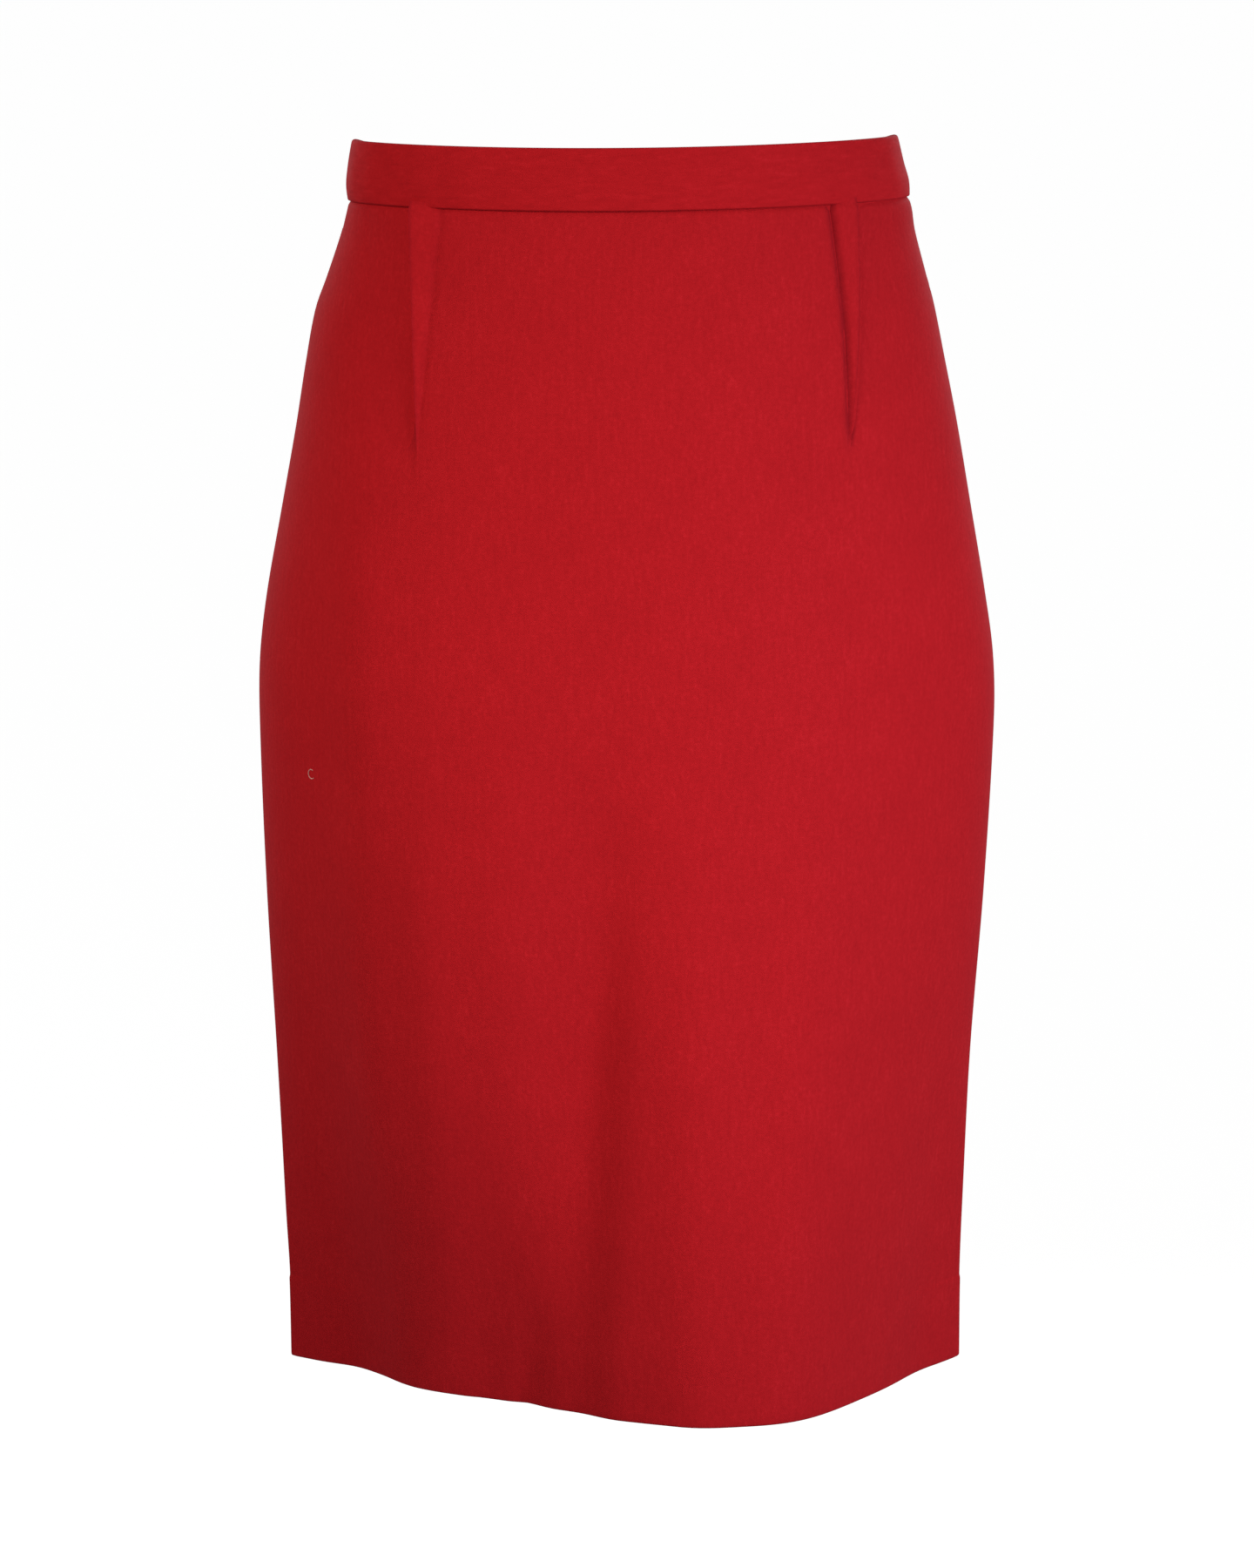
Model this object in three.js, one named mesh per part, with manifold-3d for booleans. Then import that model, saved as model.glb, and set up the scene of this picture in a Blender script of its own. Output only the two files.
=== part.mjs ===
// A knee-length pencil skirt of red wool crepe, in the hollow form that it has when it is worn.
// Millimetres, +Z up. The front faces -Y and the wearer's left is +X.
// The origin is the middle of the waist opening, halfway up the waistband.
import * as THREE from "three";
import Module from "manifold-3d";

const wasm = await Module();
wasm.setup();

// Driving dimensions
const cloth = { thickness: 2.0, seamGap: 0.3 };
const waist = { bandHeight: 29, bandThickness: 3.0, frontRise: 0.6, backDip: 11, sideRise: 2.3, tilt: 1.1 };
const hem = { drop: 560.5, turnUp: 40, extraInside: 1.2, extraOutside: 0.4 };
const lap = { underlap: 32, edge: 0.3, bandGap: 0.4, rampFrom: 22, rampTo: 3, settle: 6 };
const vent = { top: 385, slope: 36, underlap: 42, settle: 26, gap: 0.6, rampWidth: 14, rampEnd: 1 };
const zip = {
  top: 12.6, length: 182, tapeWidth: 12, tapeThickness: 1.0, coilWidth: 4, coilDepth: 2.0, coilGap: 0.4,
};
const slider = {
  centre: 6.4, width: 8.4, height: 9, depth: 4.5, bridge: 2.0, eye: 1.05, ring: 2.1,
  notch: 1.5, notchEnd: 11.5,
};
const tab = {
  width: 5.2, length: 21, thickness: 1.0, bar: 1.1, window: 2.8,
  axisOut: 1.9, offCloth: 0.5, waistShare: 0.75,
};
const button = {
  diameter: 15, thickness: 2.6, bevel: 0.6, holeOffset: 1.05, holeRadius: 0.8, across: 15, seat: 0.65,
};

// The garment's outer form: one row for each level, counted down from the waist seam.
// left and right are half widths, front and back are depths, all from the middle line.
// corner is 1 for a round side and more for a sharper one; swing turns the loose lower part.
const sections = [
  { drop: 0, left: 131.7, right: 133.2, front: 86.0, back: 82.0, corner: 1.00, swing: 0 },
  { drop: 5.5, left: 133.0, right: 134.8, front: 88.0, back: 84.2, corner: 1.00, swing: 0 },
  { drop: 15.5, left: 135.6, right: 136.3, front: 91.0, back: 88.0, corner: 1.01, swing: 0 },
  { drop: 35.5, left: 142.3, right: 141.6, front: 96.5, back: 95.0, corner: 1.03, swing: 0 },
  { drop: 50.5, left: 147.7, right: 145.6, front: 100.0, back: 100.5, corner: 1.04, swing: 0 },
  { drop: 75.5, left: 152.5, right: 150.8, front: 105.0, back: 109.5, corner: 1.05, swing: 0 },
  { drop: 105.5, left: 157.4, right: 156.9, front: 109.5, back: 117.5, corner: 1.06, swing: 0 },
  { drop: 145.5, left: 164.8, right: 164.0, front: 113.0, back: 123.5, corner: 1.08, swing: 0 },
  { drop: 185.5, left: 172.2, right: 171.0, front: 115.0, back: 125.5, corner: 1.10, swing: -0.5 },
  { drop: 215.5, left: 175.8, right: 175.3, front: 116.0, back: 124.5, corner: 1.13, swing: -0.5 },
  { drop: 245.5, left: 176.3, right: 176.2, front: 116.5, back: 122.5, corner: 1.17, swing: 0 },
  { drop: 325.5, left: 174.0, right: 172.4, front: 117.0, back: 117.0, corner: 1.32, swing: 2 },
  { drop: 405.5, left: 170.2, right: 166.9, front: 117.5, back: 112.5, corner: 1.58, swing: 8 },
  { drop: 485.5, left: 166.8, right: 163.8, front: 118.0, back: 109.5, corner: 1.90, swing: 16 },
  { drop: 520.5, left: 165.0, right: 162.8, front: 118.0, back: 108.5, corner: 2.05, swing: 19 },
  { drop: 560.5, left: 164.4, right: 162.7, front: 118.0, back: 108.0, corner: 2.20, swing: 22 },
];

// The waistband's outer form, at heights above and below its middle.
const bandSections = [
  { up: -14.5, left: 132.0, right: 133.7, front: 87.5, back: 83.5 },
  { up: -7, left: 132.5, right: 133.0, front: 87.1, back: 83.1 },
  { up: 1, left: 131.7, right: 130.6, front: 86.2, back: 82.2 },
  { up: 14.5, left: 129.8, right: 127.6, front: 84.5, back: 80.5 },
];

// The largest folds: soft troughs (depth below 0) and ridges (depth above 0).
// across is measured from the middle line at the fold's top and at the hem, and kept is the share of
// its depth that is left at the hem, where some folds die out over the calm stretch.
const hemCalm = { from: 400, to: 550 };
const folds = [
  { side: "front", acrossTop: 4, acrossHem: -9, begins: 215, full: 430, width: 17, depth: -4.5, kept: 1 },
  { side: "front", acrossTop: -8, acrossHem: -26, begins: 170, full: 400, width: 28, depth: -6.5, kept: 0 },
  { side: "front", acrossTop: 28, acrossHem: 34, begins: 230, full: 440, width: 24, depth: 4, kept: 1 },
  { side: "front", acrossTop: -60, acrossHem: -60, begins: 120, full: 330, width: 24, depth: 4.5, kept: 0 },
  { side: "front", acrossTop: -96, acrossHem: -87, begins: 130, full: 500, width: 23, depth: 9, kept: 1 },
  { side: "front", acrossTop: -116, acrossHem: -104, begins: 10, full: 230, width: 42, depth: 9, kept: 0 },
  { side: "front", acrossTop: -160, acrossHem: -131, begins: 230, full: 500, width: 13, depth: -4, kept: 1 },
  { side: "front", acrossTop: -40, acrossHem: -46, begins: 500, full: 556, width: 8, depth: -3, kept: 1 },
  { side: "front", acrossTop: 94, acrossHem: 83, begins: 200, full: 520, width: 27, depth: 9, kept: 1 },
  { side: "front", acrossTop: 152, acrossHem: 141, begins: 320, full: 540, width: 12, depth: -5, kept: 1 },
  { side: "back", acrossTop: -70, acrossHem: -80, begins: 190, full: 480, width: 26, depth: 7, kept: 1 },
  { side: "back", acrossTop: 66, acrossHem: 82, begins: 200, full: 480, width: 26, depth: 6.5, kept: 1 },
  { side: "back", acrossTop: -26, acrossHem: -38, begins: 210, full: 400, width: 18, depth: -3, kept: 1 },
  { side: "back", acrossTop: 128, acrossHem: 122, begins: 260, full: 500, width: 16, depth: -3, kept: 1 },
];

// Darts: seamTop and seamTip are the stitched line's distances from the middle line, bow its outward
// curve halfway, intake the width of the pressed wedge at the waist, rise and hollow its relief.
const darts = [
  {
    side: "front", sign: 1, seamTop: 105.9, seamTip: 104.8, bow: 2.6,
    intake: 11.4, length: 108, rise: 1.5, hollow: 0.7,
  },
  {
    side: "front", sign: -1, seamTop: 99.9, seamTip: 96.6, bow: 0,
    intake: 12.4, length: 106, rise: 1.9, hollow: 0.8,
  },
  {
    side: "back", sign: 1, seamTop: 66, seamTip: 70, bow: 0.5,
    intake: 13, length: 128, rise: 1.4, hollow: 0.6,
  },
  {
    side: "back", sign: -1, seamTop: 66, seamTip: 70, bow: 0.5,
    intake: 13, length: 128, rise: 1.4, hollow: 0.6,
  },
];
const dartEdge = { outside: 0.7, inside: 0.5, fade: 12, leastWedge: 2.2, foot: 2, spread: 24 };

// Rows of the cloth's grid: from one drop to the next in equal steps.
const frontRows = [
  { from: 0, to: 11.5, steps: 2 },
  { from: 11.5, to: 131.5, steps: 8 },
  { from: 131.5, to: 251.5, steps: 5 },
  { from: 251.5, to: 514.5, steps: 8 },
  { from: 514.5, to: 526.5, steps: 2 },
  { from: 526.5, to: 560.5, steps: 1 },
];
const backRows = [
  { from: 0, to: 9, steps: 2 },
  { from: 9, to: 11.5, steps: 1 },
  { from: 11.5, to: 131.5, steps: 7 },
  { from: 131.5, to: 251.5, steps: 5 },
  { from: 251.5, to: 361, steps: 4 },
  { from: 361, to: 421, steps: 5 },
  { from: 421, to: 514.5, steps: 3 },
  { from: 514.5, to: 526.5, steps: 2 },
  { from: 526.5, to: 560.5, steps: 1 },
];
const bandSteps = 68;
const sideSettle = 0.15;

const redCrepe = { color: 0xb21c25, roughness: 0.9, metalness: 0 };
const redTape = { color: 0x8f1a20, roughness: 0.85, metalness: 0 };
const paintedMetal = { color: 0xa01820, roughness: 0.4, metalness: 0.5 };
const redButton = { color: 0x9c1a22, roughness: 0.35, metalness: 0 };

const radians = THREE.MathUtils.degToRad;
const smooth = THREE.MathUtils.smoothstep;
const lerp = THREE.MathUtils.lerp;

// A table's columns at a level between its rows, on a smooth curve through them.
function between(rows, key, level) {
  const last = rows.length - 1;
  const at = THREE.MathUtils.clamp(level, rows[0][key], rows[last][key]);
  let i = 0;
  while (i < last - 1 && at > rows[i + 1][key]) i++;
  const span = rows[i + 1][key] - rows[i][key];
  const t = (at - rows[i][key]) / span;
  const made = {};
  for (const column of Object.keys(rows[0])) {
    const slope = (j) => {
      const a = rows[Math.max(j - 1, 0)];
      const b = rows[Math.min(j + 1, last)];
      return ((b[column] - a[column]) / (b[key] - a[key])) * span;
    };
    const p = rows[i][column];
    const q = rows[i + 1][column];
    const m = slope(i);
    const n = slope(i + 1);
    const t2 = t * t;
    const t3 = t2 * t;
    const start = (2 * t3 - 3 * t2 + 1) * p + (t3 - 2 * t2 + t) * m;
    const end = (3 * t2 - 2 * t3) * q + (t3 - t2) * n;
    made[column] = start + end;
  }
  return made;
}

// Angles run round the body: 0 at the centre front, 90 at the left side seam, 180 at the centre back.
const widthAt = (row, angle) => (Math.sin(radians(angle)) >= 0 ? row.right : row.left);
const angleOf = (side, across, row) => {
  const turn = THREE.MathUtils.radToDeg(Math.asin(across / (across >= 0 ? row.right : row.left)));
  return side === "front" ? turn : 180 - turn;
};

// How much higher the waist lies at an angle: it rises at the sides, dips at the back and tilts a little.
function waistShift(angle) {
  const back = Math.max(0, -Math.cos(radians(angle)));
  const side = Math.sin(radians(angle));
  const rise = waist.frontRise + waist.sideRise * side * side + waist.tilt * side;
  return rise - waist.backDip * smooth(back, 0, 1);
}

// Outward push of the folds at a place across the cloth.
function foldPush(side, across, drop) {
  let push = 0;
  for (const fold of folds) {
    if (fold.side !== side) continue;
    const down = THREE.MathUtils.clamp((drop - fold.begins) / (hem.drop - fold.begins), 0, 1);
    const centre = lerp(fold.acrossTop, fold.acrossHem, down);
    const away = (across - centre) / fold.width;
    const calmed = 1 - (1 - fold.kept) * smooth(drop, hemCalm.from, hemCalm.to);
    push += fold.depth * smooth(drop, fold.begins, fold.full) * calmed * Math.exp(-away * away);
  }
  return push;
}

// A point of the cloth's outer face, without the darts' relief.
function skin(angle, drop) {
  const row = between(sections, "drop", drop);
  const width = widthAt(row, angle);
  const across = width * Math.sin(radians(angle));
  const cos = Math.cos(radians(angle));
  const side = cos >= 0 ? "front" : "back";
  const facing = cos >= 0 ? -1 : 1;
  const round = Math.abs(cos) ** row.corner;
  const edge = smooth(Math.abs(cos), 0, 0.35);
  const swing = row.swing * Math.sin((Math.PI * across) / width) * (side === "front" ? 1 : 0.6);
  const depth = (side === "front" ? row.front : row.back) * round + foldPush(side, across, drop) * edge;
  const level = -waist.bandHeight / 2 - drop + waistShift(angle) * (1 - drop / hem.drop);
  return new THREE.Vector3(across, facing * depth - swing, level);
}

// The outward normal of a surface given by angle and level.
function normalOf(surface, angle, level) {
  const turn = 0.5;
  const step = 0.8;
  const along = surface(angle + turn, level).sub(surface(angle - turn, level));
  const down = surface(angle, level + step).sub(surface(angle, level - step));
  return down.cross(along).normalize();
}
const skinNormal = (angle, drop) => normalOf(skin, angle, THREE.MathUtils.clamp(drop, 1, hem.drop - 1));

// The middle of the hollow at a place across it, where the front's and the back's walls meet at the sides.
function middleOf(across, drop) {
  const width = widthAt(between(sections, "drop", drop), Math.sign(across) * 90);
  const turn = THREE.MathUtils.radToDeg(Math.asin(THREE.MathUtils.clamp(across / width, -1, 1)));
  return (skin(turn, drop).y + skin(180 - turn, drop).y) / 2;
}

// Where a dart's stitched line lies, and how wide its pressed wedge is, at a drop.
function dartLine(dart, drop) {
  const down = Math.min(drop / dart.length, 1);
  const stitched = lerp(dart.seamTop, dart.seamTip, down) + dart.bow * Math.sin(Math.PI * down);
  return { stitched, wedge: dart.intake * (1 - down) };
}

// The relief of the darts: a wedge rises towards the stitched line, with a hollow beyond it.
function dartRelief(side, across, drop) {
  let relief = 0;
  for (const dart of darts) {
    if (dart.side !== side || across * dart.sign < 0 || drop > dart.length) continue;
    const { stitched, wedge } = dartLine(dart, drop);
    const beyond = Math.abs(across) - stitched;
    const strength = smooth(dart.length - drop, 0, dartEdge.fade * 3);
    if (beyond > 0) relief -= dart.hollow * strength * Math.exp(-beyond / dartEdge.fade);
    else if (beyond > -wedge) relief += dart.rise * strength * (1 + beyond / wedge);
  }
  return relief;
}

// The hem's turned-up layer thickens the wall inwards and leaves a slight step outside.
const turnLine = hem.drop - hem.turnUp;
const insideDepth = (drop) => cloth.thickness + hem.extraInside * smooth(drop, turnLine, turnLine + 6);
const hemStep = (drop) => hem.extraOutside * smooth(drop, turnLine - 2, turnLine + 2);

// Columns of a panel at one drop, from one edge to the other, lined up with its darts.
function columnAngles(stops, drop) {
  const row = between(sections, "drop", drop);
  const angles = [];
  for (let i = 0; i + 1 < stops.length; i++) {
    const a = stops[i].angle(row, drop);
    const b = stops[i + 1].angle(row, drop);
    for (let k = 0; k < stops[i].steps; k++) angles.push(lerp(a, b, k / stops[i].steps));
  }
  angles.push(stops[stops.length - 1].angle(row, drop));
  return angles;
}

// Stops at a dart, from its outer side inwards; reversed for the other hand.
function dartStops(dart, stepsOutside, stepsInside, reversed) {
  const at = (offset, wedges) => (row, drop) => {
    const { stitched, wedge } = dartLine(dart, drop);
    const across = stitched + offset - wedges * Math.max(wedge, dartEdge.leastWedge);
    return angleOf(dart.side, dart.sign * across, row);
  };
  const beyond = [at(dartEdge.spread, 0), at(dartEdge.spread / 3, 0), at(dartEdge.outside, 0)];
  const places = [...beyond, at(-dartEdge.inside, 0), at(0, 0.5), at(0, 1), at(-dartEdge.foot, 1)];
  const steps = [2, 1, 1, 1, 1, 1];
  const order = reversed ? places.reverse() : places;
  const counts = reversed ? [...steps.reverse(), stepsOutside] : [...steps, stepsInside];
  return order.map((angle, i) => ({ angle, steps: counts[i] }));
}

// A closed wall from a grid of outer points and a matching grid of inner points.
function wall(outer, inner) {
  const rows = outer.length;
  const columns = outer[0].length;
  const points = [...outer.flat(), ...inner.flat()];
  const faces = [];
  const id = (layer, r, c) => layer * rows * columns + r * columns + c;
  const quad = (a, b, c, d) => {
    const straight = points[a].distanceTo(points[c]) < points[b].distanceTo(points[d]);
    faces.push(...(straight ? [a, b, c, a, c, d] : [a, b, d, b, c, d]));
  };
  for (let r = 0; r + 1 < rows; r++) {
    for (let c = 0; c + 1 < columns; c++) {
      quad(id(0, r, c), id(0, r + 1, c), id(0, r + 1, c + 1), id(0, r, c + 1));
      quad(id(1, r, c), id(1, r, c + 1), id(1, r + 1, c + 1), id(1, r + 1, c));
    }
    quad(id(0, r, 0), id(1, r, 0), id(1, r + 1, 0), id(0, r + 1, 0));
    const last = columns - 1;
    quad(id(0, r, last), id(0, r + 1, last), id(1, r + 1, last), id(1, r, last));
  }
  for (let c = 0; c + 1 < columns; c++) {
    quad(id(0, 0, c), id(0, 0, c + 1), id(1, 0, c + 1), id(1, 0, c));
    quad(id(0, rows - 1, c), id(1, rows - 1, c), id(1, rows - 1, c + 1), id(0, rows - 1, c + 1));
  }
  const geometry = new THREE.BufferGeometry().setFromPoints(points);
  geometry.setIndex(faces);
  geometry.computeVertexNormals();
  return geometry;
}

// All the drops of a table of rows.
function rowDrops(bands) {
  const drops = [bands[0].from];
  for (const { from, to, steps } of bands) {
    for (let k = 1; k <= steps; k++) drops.push(lerp(from, to, k / steps));
  }
  return drops;
}

// A cloth panel: its columns come from the stops, and sink says how far it lies under another panel.
function panel(side, stops, seamShift, sink = () => 0) {
  const outer = [];
  const inner = [];
  for (const drop of rowDrops(side === "front" ? frontRows : backRows)) {
    const outerRow = [];
    const innerRow = [];
    for (const angle of columnAngles(stops, drop)) {
      const normal = skinNormal(angle, drop);
      const base = skin(angle, drop);
      normal.y *= smooth(Math.abs(Math.cos(radians(angle))), 0, sideSettle);
      if (side === "back") normal.x *= smooth(Math.abs(base.x), 1, lap.settle);
      normal.normalize();
      const under = sink(base.x, drop);
      const relief = dartRelief(side, base.x, drop) + hemStep(drop);
      const outside = base.clone().addScaledVector(normal, relief - under);
      const inside = base.clone().addScaledVector(normal, -insideDepth(drop) - under);
      const middle = middleOf(inside.x, drop);
      inside.y = side === "front" ? Math.min(inside.y, middle) : Math.max(inside.y, middle);
      outside.y += seamShift;
      inside.y += seamShift;
      outerRow.push(outside);
      innerRow.push(inside);
    }
    outer.push(outerRow);
    inner.push(innerRow);
  }
  return wall(outer, inner);
}

const fixed = (angle, steps) => ({ angle: () => angle, steps });
const halfGap = cloth.seamGap / 2;
const [frontLeftDart, frontRightDart, backLeftDart, backRightDart] = darts;

// The front runs from the right side seam to the left one, in one piece.
function frontPanel() {
  const stops = [
    fixed(-90, 6),
    ...dartStops(frontRightDart, 0, 6, false),
    fixed(0, 6),
    ...dartStops(frontLeftDart, 6, 0, true),
    fixed(90, 0),
  ];
  return panel("front", stops, -halfGap);
}

// The centre back edge stands apart round the slider's bridge and meets below it.
const backEdge = (drop) => (drop < slider.notchEnd ? slider.notch : halfGap);

// The left back panel, whose edge lies on top at the vent.
function backPanelLeft() {
  const stops = [
    fixed(90, 6),
    ...dartStops(backLeftDart, 0, 2, false),
    { angle: (row) => angleOf("back", vent.underlap, row), steps: 4 },
    { angle: (row, drop) => angleOf("back", backEdge(drop), row), steps: 0 },
  ];
  return panel("back", stops, halfGap);
}

// Where the right back panel ends: at the centre back above the vent, and under the left panel below it.
function rightBackEdge(drop) {
  if (drop <= vent.top) return -backEdge(drop);
  return lerp(-halfGap, vent.underlap, smooth(drop, vent.top, vent.top + vent.slope));
}
function ventSink(across, drop) {
  const nearVent = smooth(drop, vent.top - vent.settle, vent.top);
  const nearEdge = smooth(across, -vent.rampWidth, -vent.rampEnd);
  return (insideDepth(drop) + vent.gap) * nearVent * nearEdge;
}

// The right back panel, with the vent's underlap in one piece with it.
function backPanelRight() {
  const ramp = (offset) => (row) => angleOf("back", offset, row);
  const stops = [
    { angle: (row, drop) => angleOf("back", rightBackEdge(drop), row), steps: 4 },
    { angle: ramp(-vent.rampEnd), steps: 2 },
    { angle: ramp(-vent.rampWidth), steps: 4 },
    ...dartStops(backRightDart, 6, 0, true),
    fixed(270, 0),
  ];
  return panel("back", stops, halfGap, ventSink);
}

// A point of the waistband's outer face.
function bandSkin(angle, up) {
  const row = between(bandSections, "up", up);
  const depth = Math.cos(radians(angle)) >= 0 ? row.front : row.back;
  const x = widthAt(row, angle) * Math.sin(radians(angle));
  return new THREE.Vector3(x, -depth * Math.cos(radians(angle)), up + waistShift(angle));
}
const bandNormal = (angle, up) => normalOf((a, level) => bandSkin(a, -level), angle, -up);

// The band's section, as distances in from its outer face and up from its middle: a folded strip with
// a rounded top edge, rolled in at its seam.
const bandProfile = [
  { deep: 0.9, up: -14.2 },
  { deep: 0.1, up: -12.8 },
  { deep: -0.3, up: -6 },
  { deep: -0.2, up: 6 },
  { deep: 0.2, up: 13.2 },
  { deep: 1.5, up: 14.5 },
  { deep: 2.8, up: 13.2 },
  { deep: 3.0, up: 0 },
  { deep: 3.0, up: -14.2 },
];

// The waistband runs from the centre back round the front and on under its own end.
function waistbandGeometry() {
  const back = between(bandSections, "up", 0);
  const end = angleOf("back", lap.edge, back);
  const underlapTurn = angleOf("back", -lap.underlap, back) - 180;
  const start = end - 360 - underlapTurn;
  const rampAngles = [lap.rampFrom, lap.rampTo].map((mm) => 180 - angleOf("back", -mm, back));
  const loops = [];
  for (let i = 0; i <= bandSteps; i++) {
    const angle = lerp(start, end, i / bandSteps);
    const sinkShare = 1 - smooth(angle + 180, -rampAngles[1], -rampAngles[0]);
    const sink = (waist.bandThickness + lap.bandGap) * sinkShare;
    const inwards = (up, depth) => bandSkin(angle, up).addScaledVector(bandNormal(angle, up), -depth);
    loops.push(bandProfile.map(({ deep, up }) => inwards(up, deep + sink)));
  }
  return sweep(loops);
}

// A closed solid from a row of closed loops, capped at both ends.
function sweep(loops) {
  const count = loops[0].length;
  const points = loops.flat();
  const faces = [];
  for (let i = 0; i + 1 < loops.length; i++) {
    for (let k = 0; k < count; k++) {
      const a = i * count + k;
      const b = i * count + ((k + 1) % count);
      faces.push(a, a + count, b, b, a + count, b + count);
    }
  }
  const flat = bandProfile.map(({ deep, up }) => new THREE.Vector2(-deep, up));
  const last = (loops.length - 1) * count;
  for (const [a, b, c] of THREE.ShapeUtils.triangulateShape(flat, [])) {
    faces.push(a, b, c);
    faces.push(last + a, last + c, last + b);
  }
  const geometry = new THREE.BufferGeometry().setFromPoints(points);
  geometry.setIndex(faces);
  geometry.computeVertexNormals();
  return geometry;
}

// A thin strip behind the back panels, between two distances from the middle line.
function strip(edges, drops, from, thickness) {
  const layer = (depth) =>
    drops.map((drop) => {
      const row = between(sections, "drop", drop);
      return edges(drop).map((across) => {
        const angle = angleOf("back", across, row);
        return skin(angle, drop).addScaledVector(skinNormal(angle, drop), -depth);
      });
    });
  return wall(layer(from), layer(from + thickness));
}

const stripDrops = (from, to, steps) => rowDrops([{ from, to, steps }]);
const behindCloth = cloth.thickness + cloth.seamGap;

function zipTape(sign) {
  const besideSlider = slider.width / 2 + 0.5;
  const besideCoil = zip.coilWidth / 2 + zip.coilGap;
  const nearEdge = (drop) => (drop < zip.top + 1 ? besideSlider : besideCoil);
  const edges = (drop) => {
    const pair = [sign * nearEdge(drop), sign * (zip.coilWidth / 2 + zip.tapeWidth)];
    return sign > 0 ? pair.reverse() : pair;
  };
  const drops = [1, 7, zip.top + 0.4, zip.top + 1.4, ...stripDrops(30, zip.length + 8, 9)];
  return strip(edges, drops, behindCloth, zip.tapeThickness);
}

function zipCoil() {
  const edges = () => [zip.coilWidth / 2, 0, -zip.coilWidth / 2];
  return strip(edges, stripDrops(zip.top, zip.length, 12), behindCloth, zip.coilDepth);
}

// Turns a closed geometry into a solid that can be joined or cut, and back.
function solidOf(geometry) {
  const plain = geometry.index ? geometry.toNonIndexed() : geometry;
  const places = plain.getAttribute("position");
  const ids = new Map();
  const vertices = [];
  const triangles = [];
  for (let i = 0; i < places.count; i++) {
    const p = [places.getX(i), places.getY(i), places.getZ(i)];
    const key = p.map((value) => Math.round(value * 1000)).join();
    if (!ids.has(key)) {
      ids.set(key, ids.size);
      vertices.push(...p);
    }
    triangles.push(ids.get(key));
  }
  const mesh = new wasm.Mesh({
    numProp: 3,
    vertProperties: new Float32Array(vertices),
    triVerts: new Uint32Array(triangles),
  });
  return new wasm.Manifold(mesh);
}
function geometryOf(solid) {
  const mesh = solid.getMesh();
  const geometry = new THREE.BufferGeometry();
  geometry.setAttribute("position", new THREE.BufferAttribute(mesh.vertProperties, 3));
  geometry.setIndex(new THREE.BufferAttribute(mesh.triVerts, 1));
  return geometry;
}

// Slider: a body behind the seam, and a bridge with an eye that stands out between the panels' edges.
// Its own frame has X across, Y outwards from the cloth's face and Z up along the cloth.
function sliderGeometry() {
  const half = slider.width / 2;
  const tall = slider.height / 2;
  const shield = new THREE.Shape();
  shield.moveTo(-half * 0.62, -tall);
  shield.lineTo(half * 0.62, -tall);
  shield.quadraticCurveTo(half, -tall * 0.4, half, tall * 0.3);
  shield.quadraticCurveTo(half, tall, half * 0.5, tall);
  shield.lineTo(-half * 0.5, tall);
  shield.quadraticCurveTo(-half, tall, -half, tall * 0.3);
  shield.quadraticCurveTo(-half, -tall * 0.4, -half * 0.62, -tall);
  const deep = { depth: slider.depth, bevelEnabled: false, curveSegments: 4 };
  const body = new THREE.ExtrudeGeometry(shield, deep);
  body.rotateX(Math.PI / 2);
  body.translate(0, -behindCloth, 0);

  const root = -behindCloth - 1;
  const side = new THREE.Shape();
  side.moveTo(root, -slider.ring);
  side.lineTo(tab.axisOut, -slider.ring);
  side.absarc(tab.axisOut, 0, slider.ring, -Math.PI / 2, Math.PI / 2, false);
  side.lineTo(root, slider.ring);
  side.holes.push(new THREE.Path().absarc(tab.axisOut, 0, slider.eye, 0, Math.PI * 2, true));
  const thin = { depth: slider.bridge, bevelEnabled: false, curveSegments: 8 };
  const bridge = new THREE.ExtrudeGeometry(side, thin);
  bridge.translate(0, 0, -slider.bridge / 2);
  const [x, y, z] = [0, 1, 2].map((i) => new THREE.Vector3().setComponent(i, 1));
  bridge.applyMatrix4(new THREE.Matrix4().makeBasis(y, z, x));
  return geometryOf(solidOf(body).add(solidOf(bridge)));
}

// Pull tab: a drop-shaped plate whose top bar turns in the bridge's eye. Its frame has the bar at the
// origin, X along the bar and Z up.
function tabGeometry() {
  const half = tab.width / 2;
  const top = tab.bar / 2;
  const round = 0.55;
  const narrow = half * tab.waistShare;
  const halfway = -tab.length * 0.4;
  const shape = new THREE.Shape();
  shape.moveTo(-half + round, top);
  shape.lineTo(half - round, top);
  shape.quadraticCurveTo(half, top, half, top - round);
  shape.quadraticCurveTo(narrow, halfway, half, -tab.length + half);
  shape.absarc(0, -tab.length + half, half, 0, -Math.PI, true);
  shape.quadraticCurveTo(-narrow, halfway, -half, top - round);
  shape.quadraticCurveTo(-half, top, -half + round, top);
  const window = new THREE.Path();
  const low = -slider.ring - 0.7;
  window.moveTo(-tab.window / 2, -top);
  window.lineTo(-tab.window / 2, low);
  window.lineTo(tab.window / 2, low);
  window.lineTo(tab.window / 2, -top);
  shape.holes.push(window);
  const settings = { depth: tab.thickness, bevelEnabled: false, curveSegments: 6 };
  const plate = new THREE.ExtrudeGeometry(shape, settings);
  plate.translate(0, 0, -tab.thickness / 2);
  plate.rotateX(Math.PI / 2);
  return plate;
}

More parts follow.
